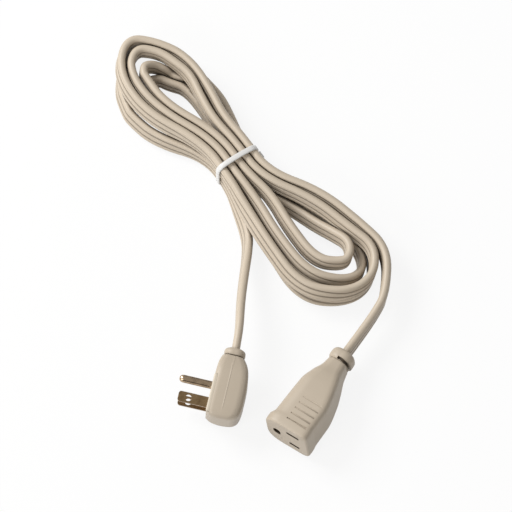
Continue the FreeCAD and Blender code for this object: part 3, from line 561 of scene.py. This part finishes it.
def handles(start, along, end, arriving):
    """The two control points of the bend between neighbouring stations."""
    span = end - start
    both = along + arriving
    bend = 1 - along.dot(arriving)
    if bend < 1e-6:
        reach = span.dot(span) / (4 * span.dot(arriving))
    else:
        lean = span.dot(both)
        reach = (math.sqrt(lean * lean + 2 * bend * span.dot(span)) - lean) / (2 * bend)
    return start + along * reach, end - arriving * reach


def cord_points(width):
    """The control points of the whole cord, from the connector to the plug, in metres."""
    stations = [at_waist(width, *place) if isinstance(place[0], str) else station(width, *place)
                for place in HANK_ROUTE]
    first, first_along = stations[0]
    last, last_along = stations[-1]
    points = [OUTLET @ Vector((0, CONNECTOR_LONG - 4.5, 0)),
              OUTLET @ Vector((0, CONNECTOR_LONG + 13.0, 0)),
              layout(71.5, -45.0, 15.2), (first - first_along * 15.9 - ORIGIN) * MM]
    for (start, along), (end, arriving) in zip(stations, stations[1:]):
        points += [(point - ORIGIN) * MM for point in handles(start, along, end, arriving)]
    points.append((last + last_along * 14.9 - ORIGIN) * MM)
    points += [layout(-5.5, -4.2, 8.4), layout(-6.8, -15.0, 12.0), layout(-9.2, -38.0, 19.0)]
    points += [PLUG @ Vector((0, 13.0, 0)), PLUG @ Vector((0, -5.0, 0))]
    return points


def centreline(points):
    """Points along the smooth line that the control points give."""
    data = bpy.data.curves.new("cord line", "CURVE")
    data.dimensions = "3D"
    data.resolution_u = 12
    spline = data.splines.new("NURBS")
    spline.points.add(len(points) - 1)
    for point, place in zip(spline.points, points):
        point.co = (*place, 1.0)
    spline.order_u = 3
    spline.use_endpoint_u = True
    mesh = bpy.data.meshes.new_from_object(linked("cord line", data))
    route = [vertex.co.copy() for vertex in mesh.vertices]
    bpy.data.curves.remove(data)
    bpy.data.meshes.remove(mesh)
    return route


def cord_outline(thick, width, groove, spacing):
    """The cord's section, and how deep in a groove each point is.

    It has two flats with a groove each side of the middle core, and round edges.
    """
    straight, radius, count = (width - thick) / 2, thick / 2, 22
    points = []
    for side in (1, -1):
        for step in range(count + 1):
            height = side * (-straight + 2 * straight * step / count)
            dent = sum(math.exp(-((height - spot) / (spacing * 0.14)) ** 2)
                       for spot in (-spacing / 2, spacing / 2))
            points.append((side * (radius - groove * dent), height, dent))
        for step in range(1, 8):
            angle = math.pi * step / 8
            points.append((side * radius * math.cos(angle),
                           side * (straight + radius * math.sin(angle)), 0.0))
    return points


def eased_share(value):
    """A share from 0 to 1 that sets off and arrives gently."""
    share = min(max(value, 0.0), 1.0)
    return share * share * (3 - 2 * share)


def upright(point):
    """The cord's upright in the hank: nearly straight at the waist, and leaning back in the loops.

    Near and far are the leans of the strands on the two sides of the hank.
    """
    place = point / MM + ORIGIN - WAIST
    turn = math.radians(WAIST_HEADING)
    along = place.x * math.cos(turn) + place.y * math.sin(turn)
    across = place.y * math.cos(turn) - place.x * math.sin(turn)
    if along > 0:
        near, far = 0.8, 0.4
    else:
        near = 0.15 + 0.35 * eased_share((-across - 12) / 12)
        far = 0.05 + 0.35 * eased_share((across - 4) / 6)
    lean = near + (far - near) * eased_share((across + 8) / 16)
    lean = 0.1 + (lean - 0.1) * eased_share(abs(along) / FULL_LEAN_AT)
    return Vector((LEAN_BACK[0] * lean, LEAN_BACK[1] * lean, 1.0)).normalized()


def crowding(mesh, reach):
    """How closely other strands face each vertex, from 0 in the open to 1 where they touch.

    It looks straight out and slanting upwards, from just clear of the surface.
    """
    tree = BVHTree.FromPolygons([vertex.co for vertex in mesh.vertices],
                                [tuple(face.vertices) for face in mesh.polygons])
    clear, slant = 0.0001, Vector((0, 0, 0.8))
    shares = []
    for vertex in mesh.vertices:
        share = 0.0
        for way in (vertex.normal, (vertex.normal + slant).normalized()):
            distance = tree.ray_cast(vertex.co + vertex.normal * clear, way, reach)[3]
            if distance is not None:
                share += 0.5 * (1 - distance / reach)
        shares.append(share)
    return shares


def cord_mesh(route, outline, start_up, end_up):
    """The flat cord along its route, on edge, leaning with the housing at each end.

    It carries painted shade in its grooves and where other strands crowd it.
    """
    lengths = [0.0]
    for before, after in zip(route, route[1:]):
        lengths.append(lengths[-1] + (after - before).length)
    total = lengths[-1]
    rings, dents = [], []
    for index, point in enumerate(route):
        before = route[max(index - 1, 0)]
        after = route[min(index + 1, len(route) - 1)]
        along = (after - before).normalized()
        lean = start_up.lerp(upright(point), eased_share(lengths[index] / TURN_AFTER_CONNECTOR))
        lean = end_up.lerp(lean, eased_share((total - lengths[index]) / TURN_BEFORE_PLUG))
        side = along.cross(lean).normalized()
        high = side.cross(along).normalized()
        rings.append([point + side * (x * MM) + high * (height * MM) for x, height, _ in outline])
        dents += [dent for _, _, dent in outline]
    mesh = mesh_of("cord", rings)
    # Painted shade in the grooves and where other strands crowd the cord
    layer = mesh.attributes.new("shade", "FLOAT", "POINT")
    layer.data.foreach_set("value", [1 - (1 - GROOVE_SHADE * dent) * (1 - crowd)
                                     for dent, crowd in zip(dents, crowding(mesh, CROWD_REACH))])
    return mesh, total


# Sizes and colours

class CordSettings(PropertyGroup):
    """Sizes and colours of the cord and its pieces."""

    thick: FloatProperty(
        name="Cord thickness", description="Across the flat cord",
        default=0.0049, min=0.002, max=0.02, unit="LENGTH")
    width: FloatProperty(
        name="Cord width", description="Over the three conductors",
        default=0.0104, min=0.004, max=0.04, unit="LENGTH")
    groove: FloatProperty(
        name="Groove depth", description="Of the two grooves between the conductors",
        default=0.0005, min=0.0, max=0.002, unit="LENGTH")
    core_step: FloatProperty(
        name="Conductor spacing", description="From one conductor to the next",
        default=0.00345, min=0.001, max=0.01, unit="LENGTH")
    vinyl: FloatVectorProperty(
        name="Vinyl", description="Colour of the cord, plug and connector",
        default=(0.55, 0.468, 0.368), min=0.0, max=1.0, subtype="COLOR")
    insert: FloatVectorProperty(
        name="Insert", description="Colour of the inserts in plug and connector",
        default=(0.62, 0.545, 0.44), min=0.0, max=1.0, subtype="COLOR")
    brass: FloatVectorProperty(
        name="Brass", description="Colour of the ground pin and the contacts",
        default=(0.62, 0.47, 0.32), min=0.0, max=1.0, subtype="COLOR")
    tie: FloatVectorProperty(
        name="Tie", description="Colour of the tie",
        default=(0.72, 0.71, 0.695), min=0.0, max=1.0, subtype="COLOR")
    grips: IntProperty(
        name="Grip grooves", description="On each broad side of the connector",
        default=5, min=0, max=12)


def settings():
    return bpy.context.scene.cord_settings


def vinyl_material():
    """The vinyl of the housings, made once."""
    found = bpy.data.materials.get("moulded vinyl")
    # The housings' vinyl darkens almost fully to painted shade where their meshes are marked
    return found or moulded_vinyl("moulded vinyl", tinted(tuple(settings().vinyl), 0.9), seam=0.95)


# Pieces

class CORD_OT_cord(Operator):
    """Lays the flat cord: its lead from the connector, the hank, and its lead to the plug"""

    bl_idname = "cord.cord"
    bl_label = "Cord"

    def execute(self, context):
        size = settings()
        outline = cord_outline(size.thick / MM, size.width / MM, size.groove / MM,
                               size.core_step / MM)
        route = centreline(cord_points(size.width / MM))
        up = Vector((0, 0, 1))
        mesh, total = cord_mesh(route, outline, (OUTLET.to_3x3() @ up).normalized(),
                                (PLUG.to_3x3() @ up).normalized())
        print("cord length %.4f" % total)
        cord = piece_from("cord", mesh, 60)
        # The cord's vinyl darkens almost fully to painted shade where its mesh is marked
        finish = moulded_vinyl("cord vinyl", tuple(size.vinyl), 0.04, 0.44, 0.95)
        finished(cord, finish, "cord_vinyl", "cord_hank", "plug_lead", "connector_lead")
        return {"FINISHED"}


class CORD_OT_connector(Operator):
    """Moulds the connector: body with grip grooves and sockets, and its bend relief ring"""

    bl_idname = "cord.connector"
    bl_label = "Connector"

    # The body's two edges and its half height, by places along it, in millimetres
    ground_side = ((0, -12.6), (0.5, -13.3), (1.5, -13.6), (5, -13.7), (7, -12.9), (9, -12.1),
                   (21, -11.9), (34, -11.6), (43, -9.4), (50, -6.9), (56, -6.2))
    slot_side = ((0, 15.6), (0.5, 16.3), (1.5, 16.6), (5, 16.5), (9, 16.0), (21, 15.8),
                 (34, 13.2), (43, 10.2), (50, 7.6), (56, 6.4))
    half_height = ((0, 12.2), (0.5, 12.75), (1.5, 13.0), (5, 13.1), (9, 12.8), (21, 12.6),
                   (34, 12.0), (43, 10.6), (50, 8.4), (56, 7.0))

    # The grip grooves: the middle of their length, half of it, and the place of the first one
    grip_middle, grip_half, grip_start = 6.0, 7.0, 6.0

    def execute(self, context):
        material = vinyl_material()
        finished(self.body(), material, "housing_vinyl", "connector_body")
        finished(self.ring(), material, "housing_vinyl", "connector_collar")
        # Painted shade: the carrier seen through the openings gets a near-black copy of the insert
        # colour
        dark = moulded_vinyl("insert vinyl in painted shade", tinted(tuple(settings().insert), 0.12))
        coated(frame["nodes"]["contact_carrier"], dark)
        return {"FINISHED"}

    def body(self):
        places = [0, 0.12, 0.3, 0.6, 1.0, 1.5, 2.2, 3.2, 4.2, 5, 5.7, 6.4, 7.1, 7.8, 8.5, 9.3]
        places += [9.3 + 1.4 * step for step in range(1, 33)]
        places += [55.0, 55.6, 55.9, 56.0]
        rings = []
        for at in places:
            trim = end_trim(at, CONNECTOR_LONG)
            half = eased(self.half_height, at) - trim
            rings.append(rounded_ring(at, eased(self.ground_side, at) + trim,
                                      eased(self.slot_side, at) - trim,
                                      half, half * 0.62, 3.4, 0.25))
        body = solid("connector_housing", rings, OUTLET)
        cutters = [self.slot(8.6, BLADE_OFF), self.slot(7.1, -BLADE_OFF), self.ground_hole(),
                   self.grooves()]
        cutters += [box_between("room", low, high, OUTLET) for low, high in (
            ((-9.35, 3.3, -9.45), (11.95, 22.3, 9.45)), ((-8.0, 21.3, -8.6), (8.6, 37.0, 8.6)),
            ((-4.6, 36.0, -6.4), (4.6, 51.0, 6.4)), ((-4.4, 49.9, -6.5), (4.4, 57.0, 6.5)))]
        return shaded(carve(body, cutters), OUTLET, self.body_shade)

    def body_shade(self, spot):
        """Painted shade inside the openings and along the grip grooves, less so along the outer
        ones.
        """
        in_slot = abs(spot.x - SLOT_ROW) < 5.3 and abs(abs(spot.z) - BLADE_OFF) < 1.6
        in_hole = math.hypot(spot.x - HOLE_ROW, spot.z) < 3.2
        if 0.1 < spot.y < 4.0 and (in_slot or in_hole):
            return 1.0
        if 5.0 < spot.y < 24.0 and abs(spot.x - self.grip_middle) < self.grip_half + 0.01:
            depth = eased(self.half_height, spot.y) - abs(spot.z)
            strong = 0.55 if 8.0 <= spot.y <= 20.5 else 0.2
            if spot.x < self.grip_middle:
                strong *= 0.4
            return strong * min(max((depth - 0.2) / 0.15, 0.0), 1.0) if depth < 1.0 else 0.0
        return 0.0

    def slot(self, long, height):
        """A cutter for a blade slot with an eased mouth."""
        half, thick = long / 2, 1.2
        corners = [(SLOT_ROW + x, height + up) for x, up in
                   ((-half, -thick), (half, -thick), (half, thick), (-half, thick))]
        return prism_along("slot", corners, MOUTH, OUTLET)

    def ground_hole(self):
        """A cutter for the ground hole, round with a flat towards the slots."""
        radius, flat = 2.8, 2.35
        start = math.acos(flat / radius)
        angles = [start + (2 * math.pi - 2 * start) * step / 28 for step in range(29)]
        corners = [(HOLE_ROW + radius * math.cos(angle), radius * math.sin(angle))
                   for angle in angles]
        return prism_along("ground", corners, MOUTH, OUTLET)

    def grooves(self):
        """A cutter with a row of tapered bars across each broad side, made by a node tree."""
        tree = bpy.data.node_groups.new("grip row", "GeometryNodeTree")
        tree.interface.new_socket("Geometry", in_out="OUTPUT", socket_type="NodeSocketGeometry")
        values = {}
        for label, kind, value in (
                ("Count", "Int", settings().grips), ("Step", "Float", 4.2),
                ("Bar length", "Float", 2 * self.grip_half), ("Bar radius", "Float", 0.78),
                ("Start radius", "Float", 0.45), ("Height", "Float", 12.6 + 0.42),
                ("Material", "Material", vinyl_material())):
            socket = tree.interface.new_socket(label, in_out="INPUT",
                                               socket_type="NodeSocket" + kind)
            values[socket.identifier] = value
        add = partial(new_node, tree)
        given = add("NodeGroupInput").outputs
        offset = add("ShaderNodeCombineXYZ", {}, {"Y": given["Step"]})
        row = add("GeometryNodeMeshLine", {}, {
            "Count": given["Count"], "Offset": offset.outputs[0]})
        bar = add("GeometryNodeMeshCone", {}, {
            "Vertices": 20, "Radius Top": given["Bar radius"],
            "Radius Bottom": given["Start radius"], "Depth": given["Bar length"]})
        spread = add("GeometryNodeInstanceOnPoints", {}, {
            "Points": row.outputs[0], "Instance": bar.outputs["Mesh"],
            "Rotation": (0, math.pi / 2, 0)})
        both = add("GeometryNodeJoinGeometry")
        for sign in (1, -1):
            lift = add("ShaderNodeMath", {"operation": "MULTIPLY"}, {0: given["Height"], 1: sign})
            place = add("ShaderNodeCombineXYZ", {}, {"Z": lift.outputs[0]})
            move = add("GeometryNodeTransform", {}, {
                "Geometry": spread.outputs[0], "Translation": place.outputs[0]})
            tree.links.new(move.outputs[0], both.inputs[0])
        real = add("GeometryNodeRealizeInstances", {}, {0: both.outputs[0]})
        paint = add("GeometryNodeSetMaterial", {}, {
            "Geometry": real.outputs[0], "Material": given["Material"]})
        add("NodeGroupOutput", {}, {0: paint.outputs[0]})

        bars = piece_from("grip bars", bpy.data.meshes.new("grip bars"), 0)
        row_of_bars = bars.modifiers.new("grip row", "NODES")
        row_of_bars.node_group = tree
        for identifier, value in values.items():
            row_of_bars[identifier] = value
        baked(bars)
        first = Matrix.Translation((self.grip_middle - self.grip_half, self.grip_start, 0.0))
        bars.data.transform(OUTLET @ first)
        return bars

    def ring(self):
        sections = ((56.12, -6.3, 6.5, 7.1), (56.5, -6.9, 7.1, 7.6), (57.3, -7.4, 7.5, 7.9),
                    (58.4, -7.7, 7.7, 8.0), (60.5, -7.7, 7.7, 8.0), (62.2, -7.5, 7.5, 7.85),
                    (63.1, -7.0, 7.0, 7.45), (63.7, -6.3, 6.3, 6.8), (64.0, -5.4, 5.4, 6.2))
        ring = bend_relief("connector_relief", sections, 0.8, OUTLET)
        carve(ring, [box_between("gap", (-0.6, 56.3, -9.0), (9.0, 58.1, 9.0), OUTLET)])
        carve(ring, [stub("stem", (50.0, 59.0), 4.3, 6.4, 2.0, OUTLET)], "UNION")
        return shaded(carve(ring, [cord_bore(49.0, 65.0, OUTLET)]), OUTLET, self.ring_shade)

    def ring_shade(self, spot):
        """Painted shade on the stem, which shows at the bottom of the slot beside the ring."""
        on_stem = 56.25 < spot.y < 58.15 and abs(spot.x) < 4.4 and abs(spot.z) < 6.5
        return 1.0 if on_stem else 0.0


class CORD_OT_plug(Operator):
    """Moulds the plug: body with its parting line, pin carrier, and bend relief ring"""

    bl_idname = "cord.plug"
    bl_label = "Plug"

    # The body's prong face, its back and its half width, by places along it, in millimetres
    front = ((-40, -2.4), (-39.85, -3.6), (-39.4, -5.2), (-38.6, -6.8), (-37.4, -8.1),
             (-36.0, -8.7), (-34, -8.8), (-22.7, -8.7), (-13.4, -8.4), (-6.3, -8.1),
             (-2.5, -7.4), (-0.6, -6.6), (0, -6.2))
    back = ((-40, 3.4), (-39.9, 5.0), (-39.5, 7.0), (-38.5, 9.0), (-36.5, 10.8), (-33, 11.8),
            (-28.5, 12.15), (-22, 12.15), (-16.2, 11.9), (-10, 11.0), (-5.8, 9.7),
            (-2.5, 7.9), (-0.6, 6.5), (0, 5.9))
    half_width = ((-40, 10.6), (-39.8, 11.6), (-39.2, 12.7), (-38.0, 13.6), (-36.0, 14.0),
                  (-16, 14.0), (-11, 13.2), (-6, 11.2), (-2.5, 9.2), (-0.6, 8.0), (0, 7.5))

    def execute(self, context):
        material = vinyl_material()
        finished(self.body(), material, "housing_vinyl", "plug_body")
        finished(self.ring(), material, "housing_vinyl", "plug_collar")
        insert = moulded_vinyl("carrier vinyl", tuple(settings().insert), 0.03, 0.5)
        finished(self.carrier(), insert, "insert_vinyl", "plug_carrier")
        return {"FINISHED"}

    def body(self):
        places = [-40, -39.9, -39.7, -39.4, -39, -38.5, -37.9, -37.2, -36.4, -35.4]
        places += [-34 + 1.36 * step for step in range(25)]
        places += [-0.9, -0.45, -0.2, -0.05, 0.0]
        rings = []
        for at in places:
            trim = end_trim(at, 0.0)
            fade = min(1.0, max(0.0, (at + 36.0) / 5.0))
            rings.append(rounded_ring(at, eased(self.front, at) + trim, eased(self.back, at) - trim,
                                      eased(self.half_width, at) - trim, 2.9, 3.4, 0.4,
                                      seam=0.7, ridge=0.13 * fade))
        body = solid("plug_housing", rings, PLUG)
        cutters = [box_between("room", low, high, PLUG) for low, high in (
            ((-30.0, -37.55, -20.0), (-6.5, -14.05, 20.0)),
            ((-6.6, -35.9, -9.5), (3.4, -5.5, 9.5)), ((-4.4, -6.1, -6.6), (4.4, 1.0, 6.6)))]
        # Painted shade on the body's end, in the gap under the collar
        return shaded(carve(body, cutters), PLUG, lambda spot: 0.9 if spot.y > -0.02 else 0.0)

    def ring(self):
        sections = ((0.42, -5.5, 5.5, 6.7), (0.6, -6.0, 6.0, 7.15), (1.1, -6.35, 6.35, 7.45),
                    (2.2, -6.45, 6.45, 7.5), (3.3, -6.3, 6.3, 7.4), (4.2, -5.7, 5.7, 6.8),
                    (4.8, -4.7, 4.7, 6.2), (5.0, -4.2, 4.2, 5.9))
        ring = bend_relief("plug_relief", sections, 0.7, PLUG)
        carve(ring, [stub("stem", (-6.0, 2.0), 4.3, 6.5, 2.0, PLUG)], "UNION")
        carve(ring, [cord_bore(-7.0, 6.0, PLUG)])
        # Painted shade on the ring's lower end, in the gap over the body
        return shaded(ring, PLUG, lambda spot: 0.9 if spot.y < 0.5 else 0.0)

    def carrier(self):
        sections = [(-37.4, -8.0, 13.2), (-37.3, -8.35, 13.5), (-37.0, -8.58, 13.75),
                    (-36.4, -8.65, 13.85)]
        sections += [(-36.4 + 2.15 * step, -8.65, 13.85) for step in range(1, 10)]
        sections += [(-14.9, -8.65, 13.85), (-14.4, -8.55, 13.78), (-14.2, -8.3, 13.6)]
        rings = [rounded_ring(at, low, -6.5, half, 1.0, 0.15) for at, low, half in sections]
        carrier = solid("pin_carrier", rings, PLUG)
        core = box_between("core", (-6.56, -35.6, -9.3), (-2.2, -15.6, 9.3), PLUG)
        carve(carrier, [core], "UNION")
        cutters = [box_between("blade hole", (-12.0, -34.34, BLADE_OFF * sign - 0.82),
                               (0.0, -27.86, BLADE_OFF * sign + 0.82), PLUG) for sign in (-1, 1)]
        hole = [[Vector((x, *spot)) for spot in circle(PIN_ROW, 0.0, 2.76, 32)]
                for x in (-12.0, 0.0)]
        cutters.append(solid("pin hole", hole, PLUG, 0))
        return carve(carrier, cutters)


class CORD_OT_prongs(Operator):
    """Forms the two blades and the ground pin"""

    bl_idname = "cord.prongs"
    bl_label = "Prongs"

    # The pin's folds: their angles round it, and where they start and end along it
    folds = (0.75, 2.2)
    fold_start, fold_end = -26.6, -9.2

    def execute(self, context):
        colour = tuple(settings().brass)
        material = formed_brass("prong brass", colour, tinted(colour, 0.45))
        # Painted shade: the blades get a darker copy of the brass
        blade_brass_in_shade = formed_brass("shaded blade brass", SHADED_BLADE_BRASS, SHADED_BLADE_TARNISH, 0.24)
        for label, sign in (("blade_line", -1), ("blade_neutral", 1)):
            finished(self.blade("prong_" + label, BLADE_OFF * sign), blade_brass_in_shade, "blade_brass", label)
        finished(self.pin(), material, "blade_brass", "ground_pin")
        # Painted shade: the contacts inside the connector get a much darker copy of the brass
        contact_brass_in_shade = formed_brass("shaded contact brass", tinted(colour, 0.4), tinted(colour, 0.2), 0.35)
        copper = formed_brass("conductor copper", COPPER, COPPER_DARK, 0.3)
        for name, node in frame["nodes"].items():
            if name.startswith("contact_") and name != "contact_carrier" or "_crimp_" in name:
                coated(node, contact_brass_in_shade)
            elif "_core_" in name:
                coated(node, copper)
        return {"FINISHED"}

    def blade(self, name, middle):
        """A flat blade with round corners, a hole near its tip and a root wider than the blade."""
        low, high, tip, root, corner, half = -34.275, -27.925, -26.8, 1.8, 1.6, 0.76
        outline = quarter(tip + corner, low + corner, corner, 180, range(9))
        outline += [(root, low), (root, high + 2.4), (root - 3.6, high + 2.4), (root - 3.6, high)]
        outline += quarter(tip + corner, high - corner, corner, 90, range(9))
        rings = [[Vector((x, y, middle + side * half)) for x, y in outline] for side in (-1, 1)]
        blade = solid(name, rings, PLUG, 30)
        hole = [[Vector((*spot, middle + up))
                 for spot in circle(tip + 6.2, (low + high) / 2, 2.0, 40)] for up in (-3.0, 3.0)]
        carve(blade, [solid("hole", hole, PLUG, 0)])
        edge = blade.modifiers.new("eased edges", "BEVEL")
        edge.width = 0.00014
        edge.segments = 2
        edge.limit_method = "ANGLE"
        edge.angle_limit = math.radians(40)
        return baked(blade)

    def pin(self):
        """The ground pin, turned from a profile of places and radii and pressed in at its folds."""
        tip, radius, sides = -28.8, 2.4, 72
        profile = [(0.0, 0.25), (0.08, 0.8), (0.3, 1.3), (0.8, 1.85), (1.5, 2.2), (2.2, 2.36)]
        profile += [(2.8, radius)] + [(2.8 + 1.3 * step, radius) for step in range(1, 13)]
        profile = [(tip + x, reach) for x, reach in profile]
        profile += [(-9.0, radius), (-9.0, 2.7), (-2.14, 2.7), (-2.14, 4.6), (-1.14, 4.6)]
        profile += [(-1.14, 1.6), (tip + 2.6, 1.6), (tip + 1.2, 0.4)]
        rings = []
        for x, reach in profile:
            ring = []
            for angle in (math.tau * step / sides for step in range(sides)):
                out = reach - 0.3 * self.fold_share(x, angle, 6.0)
                ring.append(Vector((x, PIN_ROW + out * math.cos(angle), out * math.sin(angle))))
            rings.append(ring)
        return shaded(solid("prong_ground_pin", rings, PLUG, 32), PLUG, self.pin_shade)

    def fold_share(self, x, angle, wide):
        """How near a place on the pin is to a fold, from 0 away from them to 1 on one."""
        if not self.fold_start < x < self.fold_end:
            return 0.0
        return max(math.exp(-(math.degrees(math.remainder(angle - fold, math.tau)) / wide) ** 2)
                   for fold in self.folds)

    def pin_shade(self, spot):
        """Painted shade along the folds of the pin."""
        return self.fold_share(spot.x, math.atan2(spot.z, spot.y - PIN_ROW), 9.0)


class CORD_OT_tie(Operator):
    """Puts the tie round the waist of the hank"""

    bl_idname = "cord.tie"
    bl_label = "Tie"

    def execute(self, context):
        base = (WAIST - ORIGIN) * MM
        place = (Matrix.Translation(base) @ Matrix.Rotation(math.radians(WAIST_HEADING), 4, "Z")
                 @ Matrix.Diagonal((MM, MM, MM, 1.0)))
        material = nylon("tie nylon", tuple(settings().tie))
        # The strap's path: half its width, its lowest and highest line, its corners' radius and
        # the bow of its upper run; then its section
        half, low, high, turn, bow = 13.65, 1.1, 22.4, 3.8, 1.6
        section = ((-1.7, 0.25), (-1.5, 0.0), (1.5, 0.0), (1.7, 0.25), (1.7, 0.7), (1.35, 1.0),
                   (0.6, 1.08), (-0.6, 1.08), (-1.35, 1.0), (-1.7, 0.7))
        path = []
        for y, height, start in ((half - turn, low + turn, -90), (half - turn, high - turn, 0),
                                 (-half + turn, high - turn, 90), (-half + turn, low + turn, 180)):
            path += [(y, height, *out) for out in quarter(0.0, 0.0, 1.0, start, range(9))]
            if start == 0:
                path += [((half - turn) * (1 - 2 * step / 12), high - turn, 0.0, 1.0)
                         for step in range(1, 12)]
        rings = []
        for y, height, out_y, out_z in path:
            arch = bow * (1 - ((y + out_y * turn) / half) ** 2) * max(out_z, 0.0)
            rings.append([Vector((across, y + out_y * (turn + lift + arch),
                                  height + out_z * (turn + lift + arch)))
                          for across, lift in section])
        strap = piece_from("tie", mesh_of("tie", rings, True, place), 50)
        finished(strap, material, "tie_nylon", "tie_strap")
        coated(frame["nodes"]["tie_head"], material)
        return {"FINISHED"}


class CORD_OT_stage(Operator):
    """Makes the floor, the lamps, the world and the camera"""

    bl_idname = "cord.stage"
    bl_label = "Stage"

    def execute(self, context):
        scene = context.scene
        scene.view_settings.view_transform = "Standard"
        tilt = math.radians(TILT)
        camera = linked("camera", bpy.data.cameras.new("camera"))
        away = Vector((0, -math.cos(tilt), math.sin(tilt))) * DISTANCE
        camera.location = layout(0, 0, 0) + away
        camera.rotation_euler = (math.pi / 2 - tilt, 0, 0)
        camera.data.sensor_width = SENSOR
        camera.data.lens = SENSOR * DISTANCE / (PHOTO_PIXELS / PIXELS_PER_MM * MM)
        camera.data.clip_end = 50.0
        scene.camera = camera

        mesh = bpy.data.meshes.new("floor")
        corners = [(x, y, -0.0002) for x, y in ((-6, -6), (6, -6), (6, 6), (-6, 6))]
        mesh.from_pydata(corners, [], [(0, 1, 2, 3)])
        mesh.materials.append(self.floor_material())
        floor = linked("floor", mesh)

        self.world(scene)
        self.lamp("key lamp", (-1.4, 0.9, 1.5), 1.1, 41.0)
        self.lamp("fill lamp", (-1.5, -1.3, 1.2), 1.2, 18.0)
        return {"FINISHED"}

    def floor_material(self):
        """A pale floor that the camera sees nearly white, and that keeps the shadow."""
        finish = Finish("floor")
        path = finish.node("ShaderNodeLightPath")
        camera, glossy, through = (Number(finish, path.outputs["Is %s Ray" % kind])
                                   for kind in ("Camera", "Glossy", "Transmission"))
        seen = (camera + glossy + through).clamped()
        grain = finish.noise(30.0, 2.0, 0.5)
        tone = finish.blend(grain, (0.86, 0.86, 0.86), (0.88, 0.88, 0.88))
        matt = finish.node("ShaderNodeBsdfDiffuse", {}, {"Color": tone})
        light = finish.node("ShaderNodeEmission", {}, {"Color": (1, 1, 1, 1), "Strength": 1.0})
        both = finish.node("ShaderNodeMixShader", {},
                           {0: seen * FLOOR_WHITE, 1: matt.outputs[0], 2: light.outputs[0]})
        finish.node("ShaderNodeOutputMaterial", {}, {"Surface": both.outputs[0]})
        return finish.material

    def world(self, scene):
        """Soft light from all round, which the camera sees as pure white."""
        world = bpy.data.worlds.new("studio")
        scene.world = world
        world.use_nodes = True
        tree = world.node_tree
        tree.nodes.clear()
        add = partial(new_node, tree)
        path = add("ShaderNodeLightPath")
        soft = add("ShaderNodeBackground", {}, {0: (1.0, 0.99, 0.97, 1.0), 1: SKY})
        white = add("ShaderNodeBackground", {}, {0: (1, 1, 1, 1), 1: 1.0})
        mix = add("ShaderNodeMixShader", {}, {
            0: path.outputs["Is Camera Ray"], 1: soft.outputs[0], 2: white.outputs[0]})
        add("ShaderNodeOutputWorld", {}, {0: mix.outputs[0]})

    def lamp(self, name, place, size, power):
        """A square lamp at a place, turned towards the cord."""
        data = bpy.data.lights.new(name, "AREA")
        data.shape = "SQUARE"
        data.size = size
        data.energy = power
        lamp = linked(name, data)
        lamp.location = place
        aim = Vector((0, 0.05, 0)) - Vector(place)
        lamp.rotation_euler = aim.to_track_quat("-Z", "Y").to_euler()


class CORD_PT_pieces(Panel):
    """Lists the pieces of the cord"""

    bl_idname = "CORD_PT_pieces"
    bl_label = "Extension cord"
    bl_space_type = "VIEW_3D"
    bl_region_type = "UI"
    bl_category = "Cord"

    def draw(self, context):
        for name in CordSettings.__annotations__:
            self.layout.prop(context.scene.cord_settings, name)
        for operator in OPERATORS:
            self.layout.operator(operator.bl_idname)


OPERATORS = [CORD_OT_tie, CORD_OT_cord, CORD_OT_plug, CORD_OT_prongs, CORD_OT_connector,
             CORD_OT_stage]
CLASSES = [CordSettings, *OPERATORS, CORD_PT_pieces]


def register():
    for kind in CLASSES:
        bpy.utils.register_class(kind)
    bpy.types.Scene.cord_settings = PointerProperty(type=CordSettings)


def unregister():
    del bpy.types.Scene.cord_settings
    for kind in reversed(CLASSES):
        bpy.utils.unregister_class(kind)


def main():
    register()
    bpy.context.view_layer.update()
    for operator in OPERATORS:
        group, name = operator.bl_idname.split(".")
        getattr(getattr(bpy.ops, group), name)()


if __name__ == "__main__":
    main()
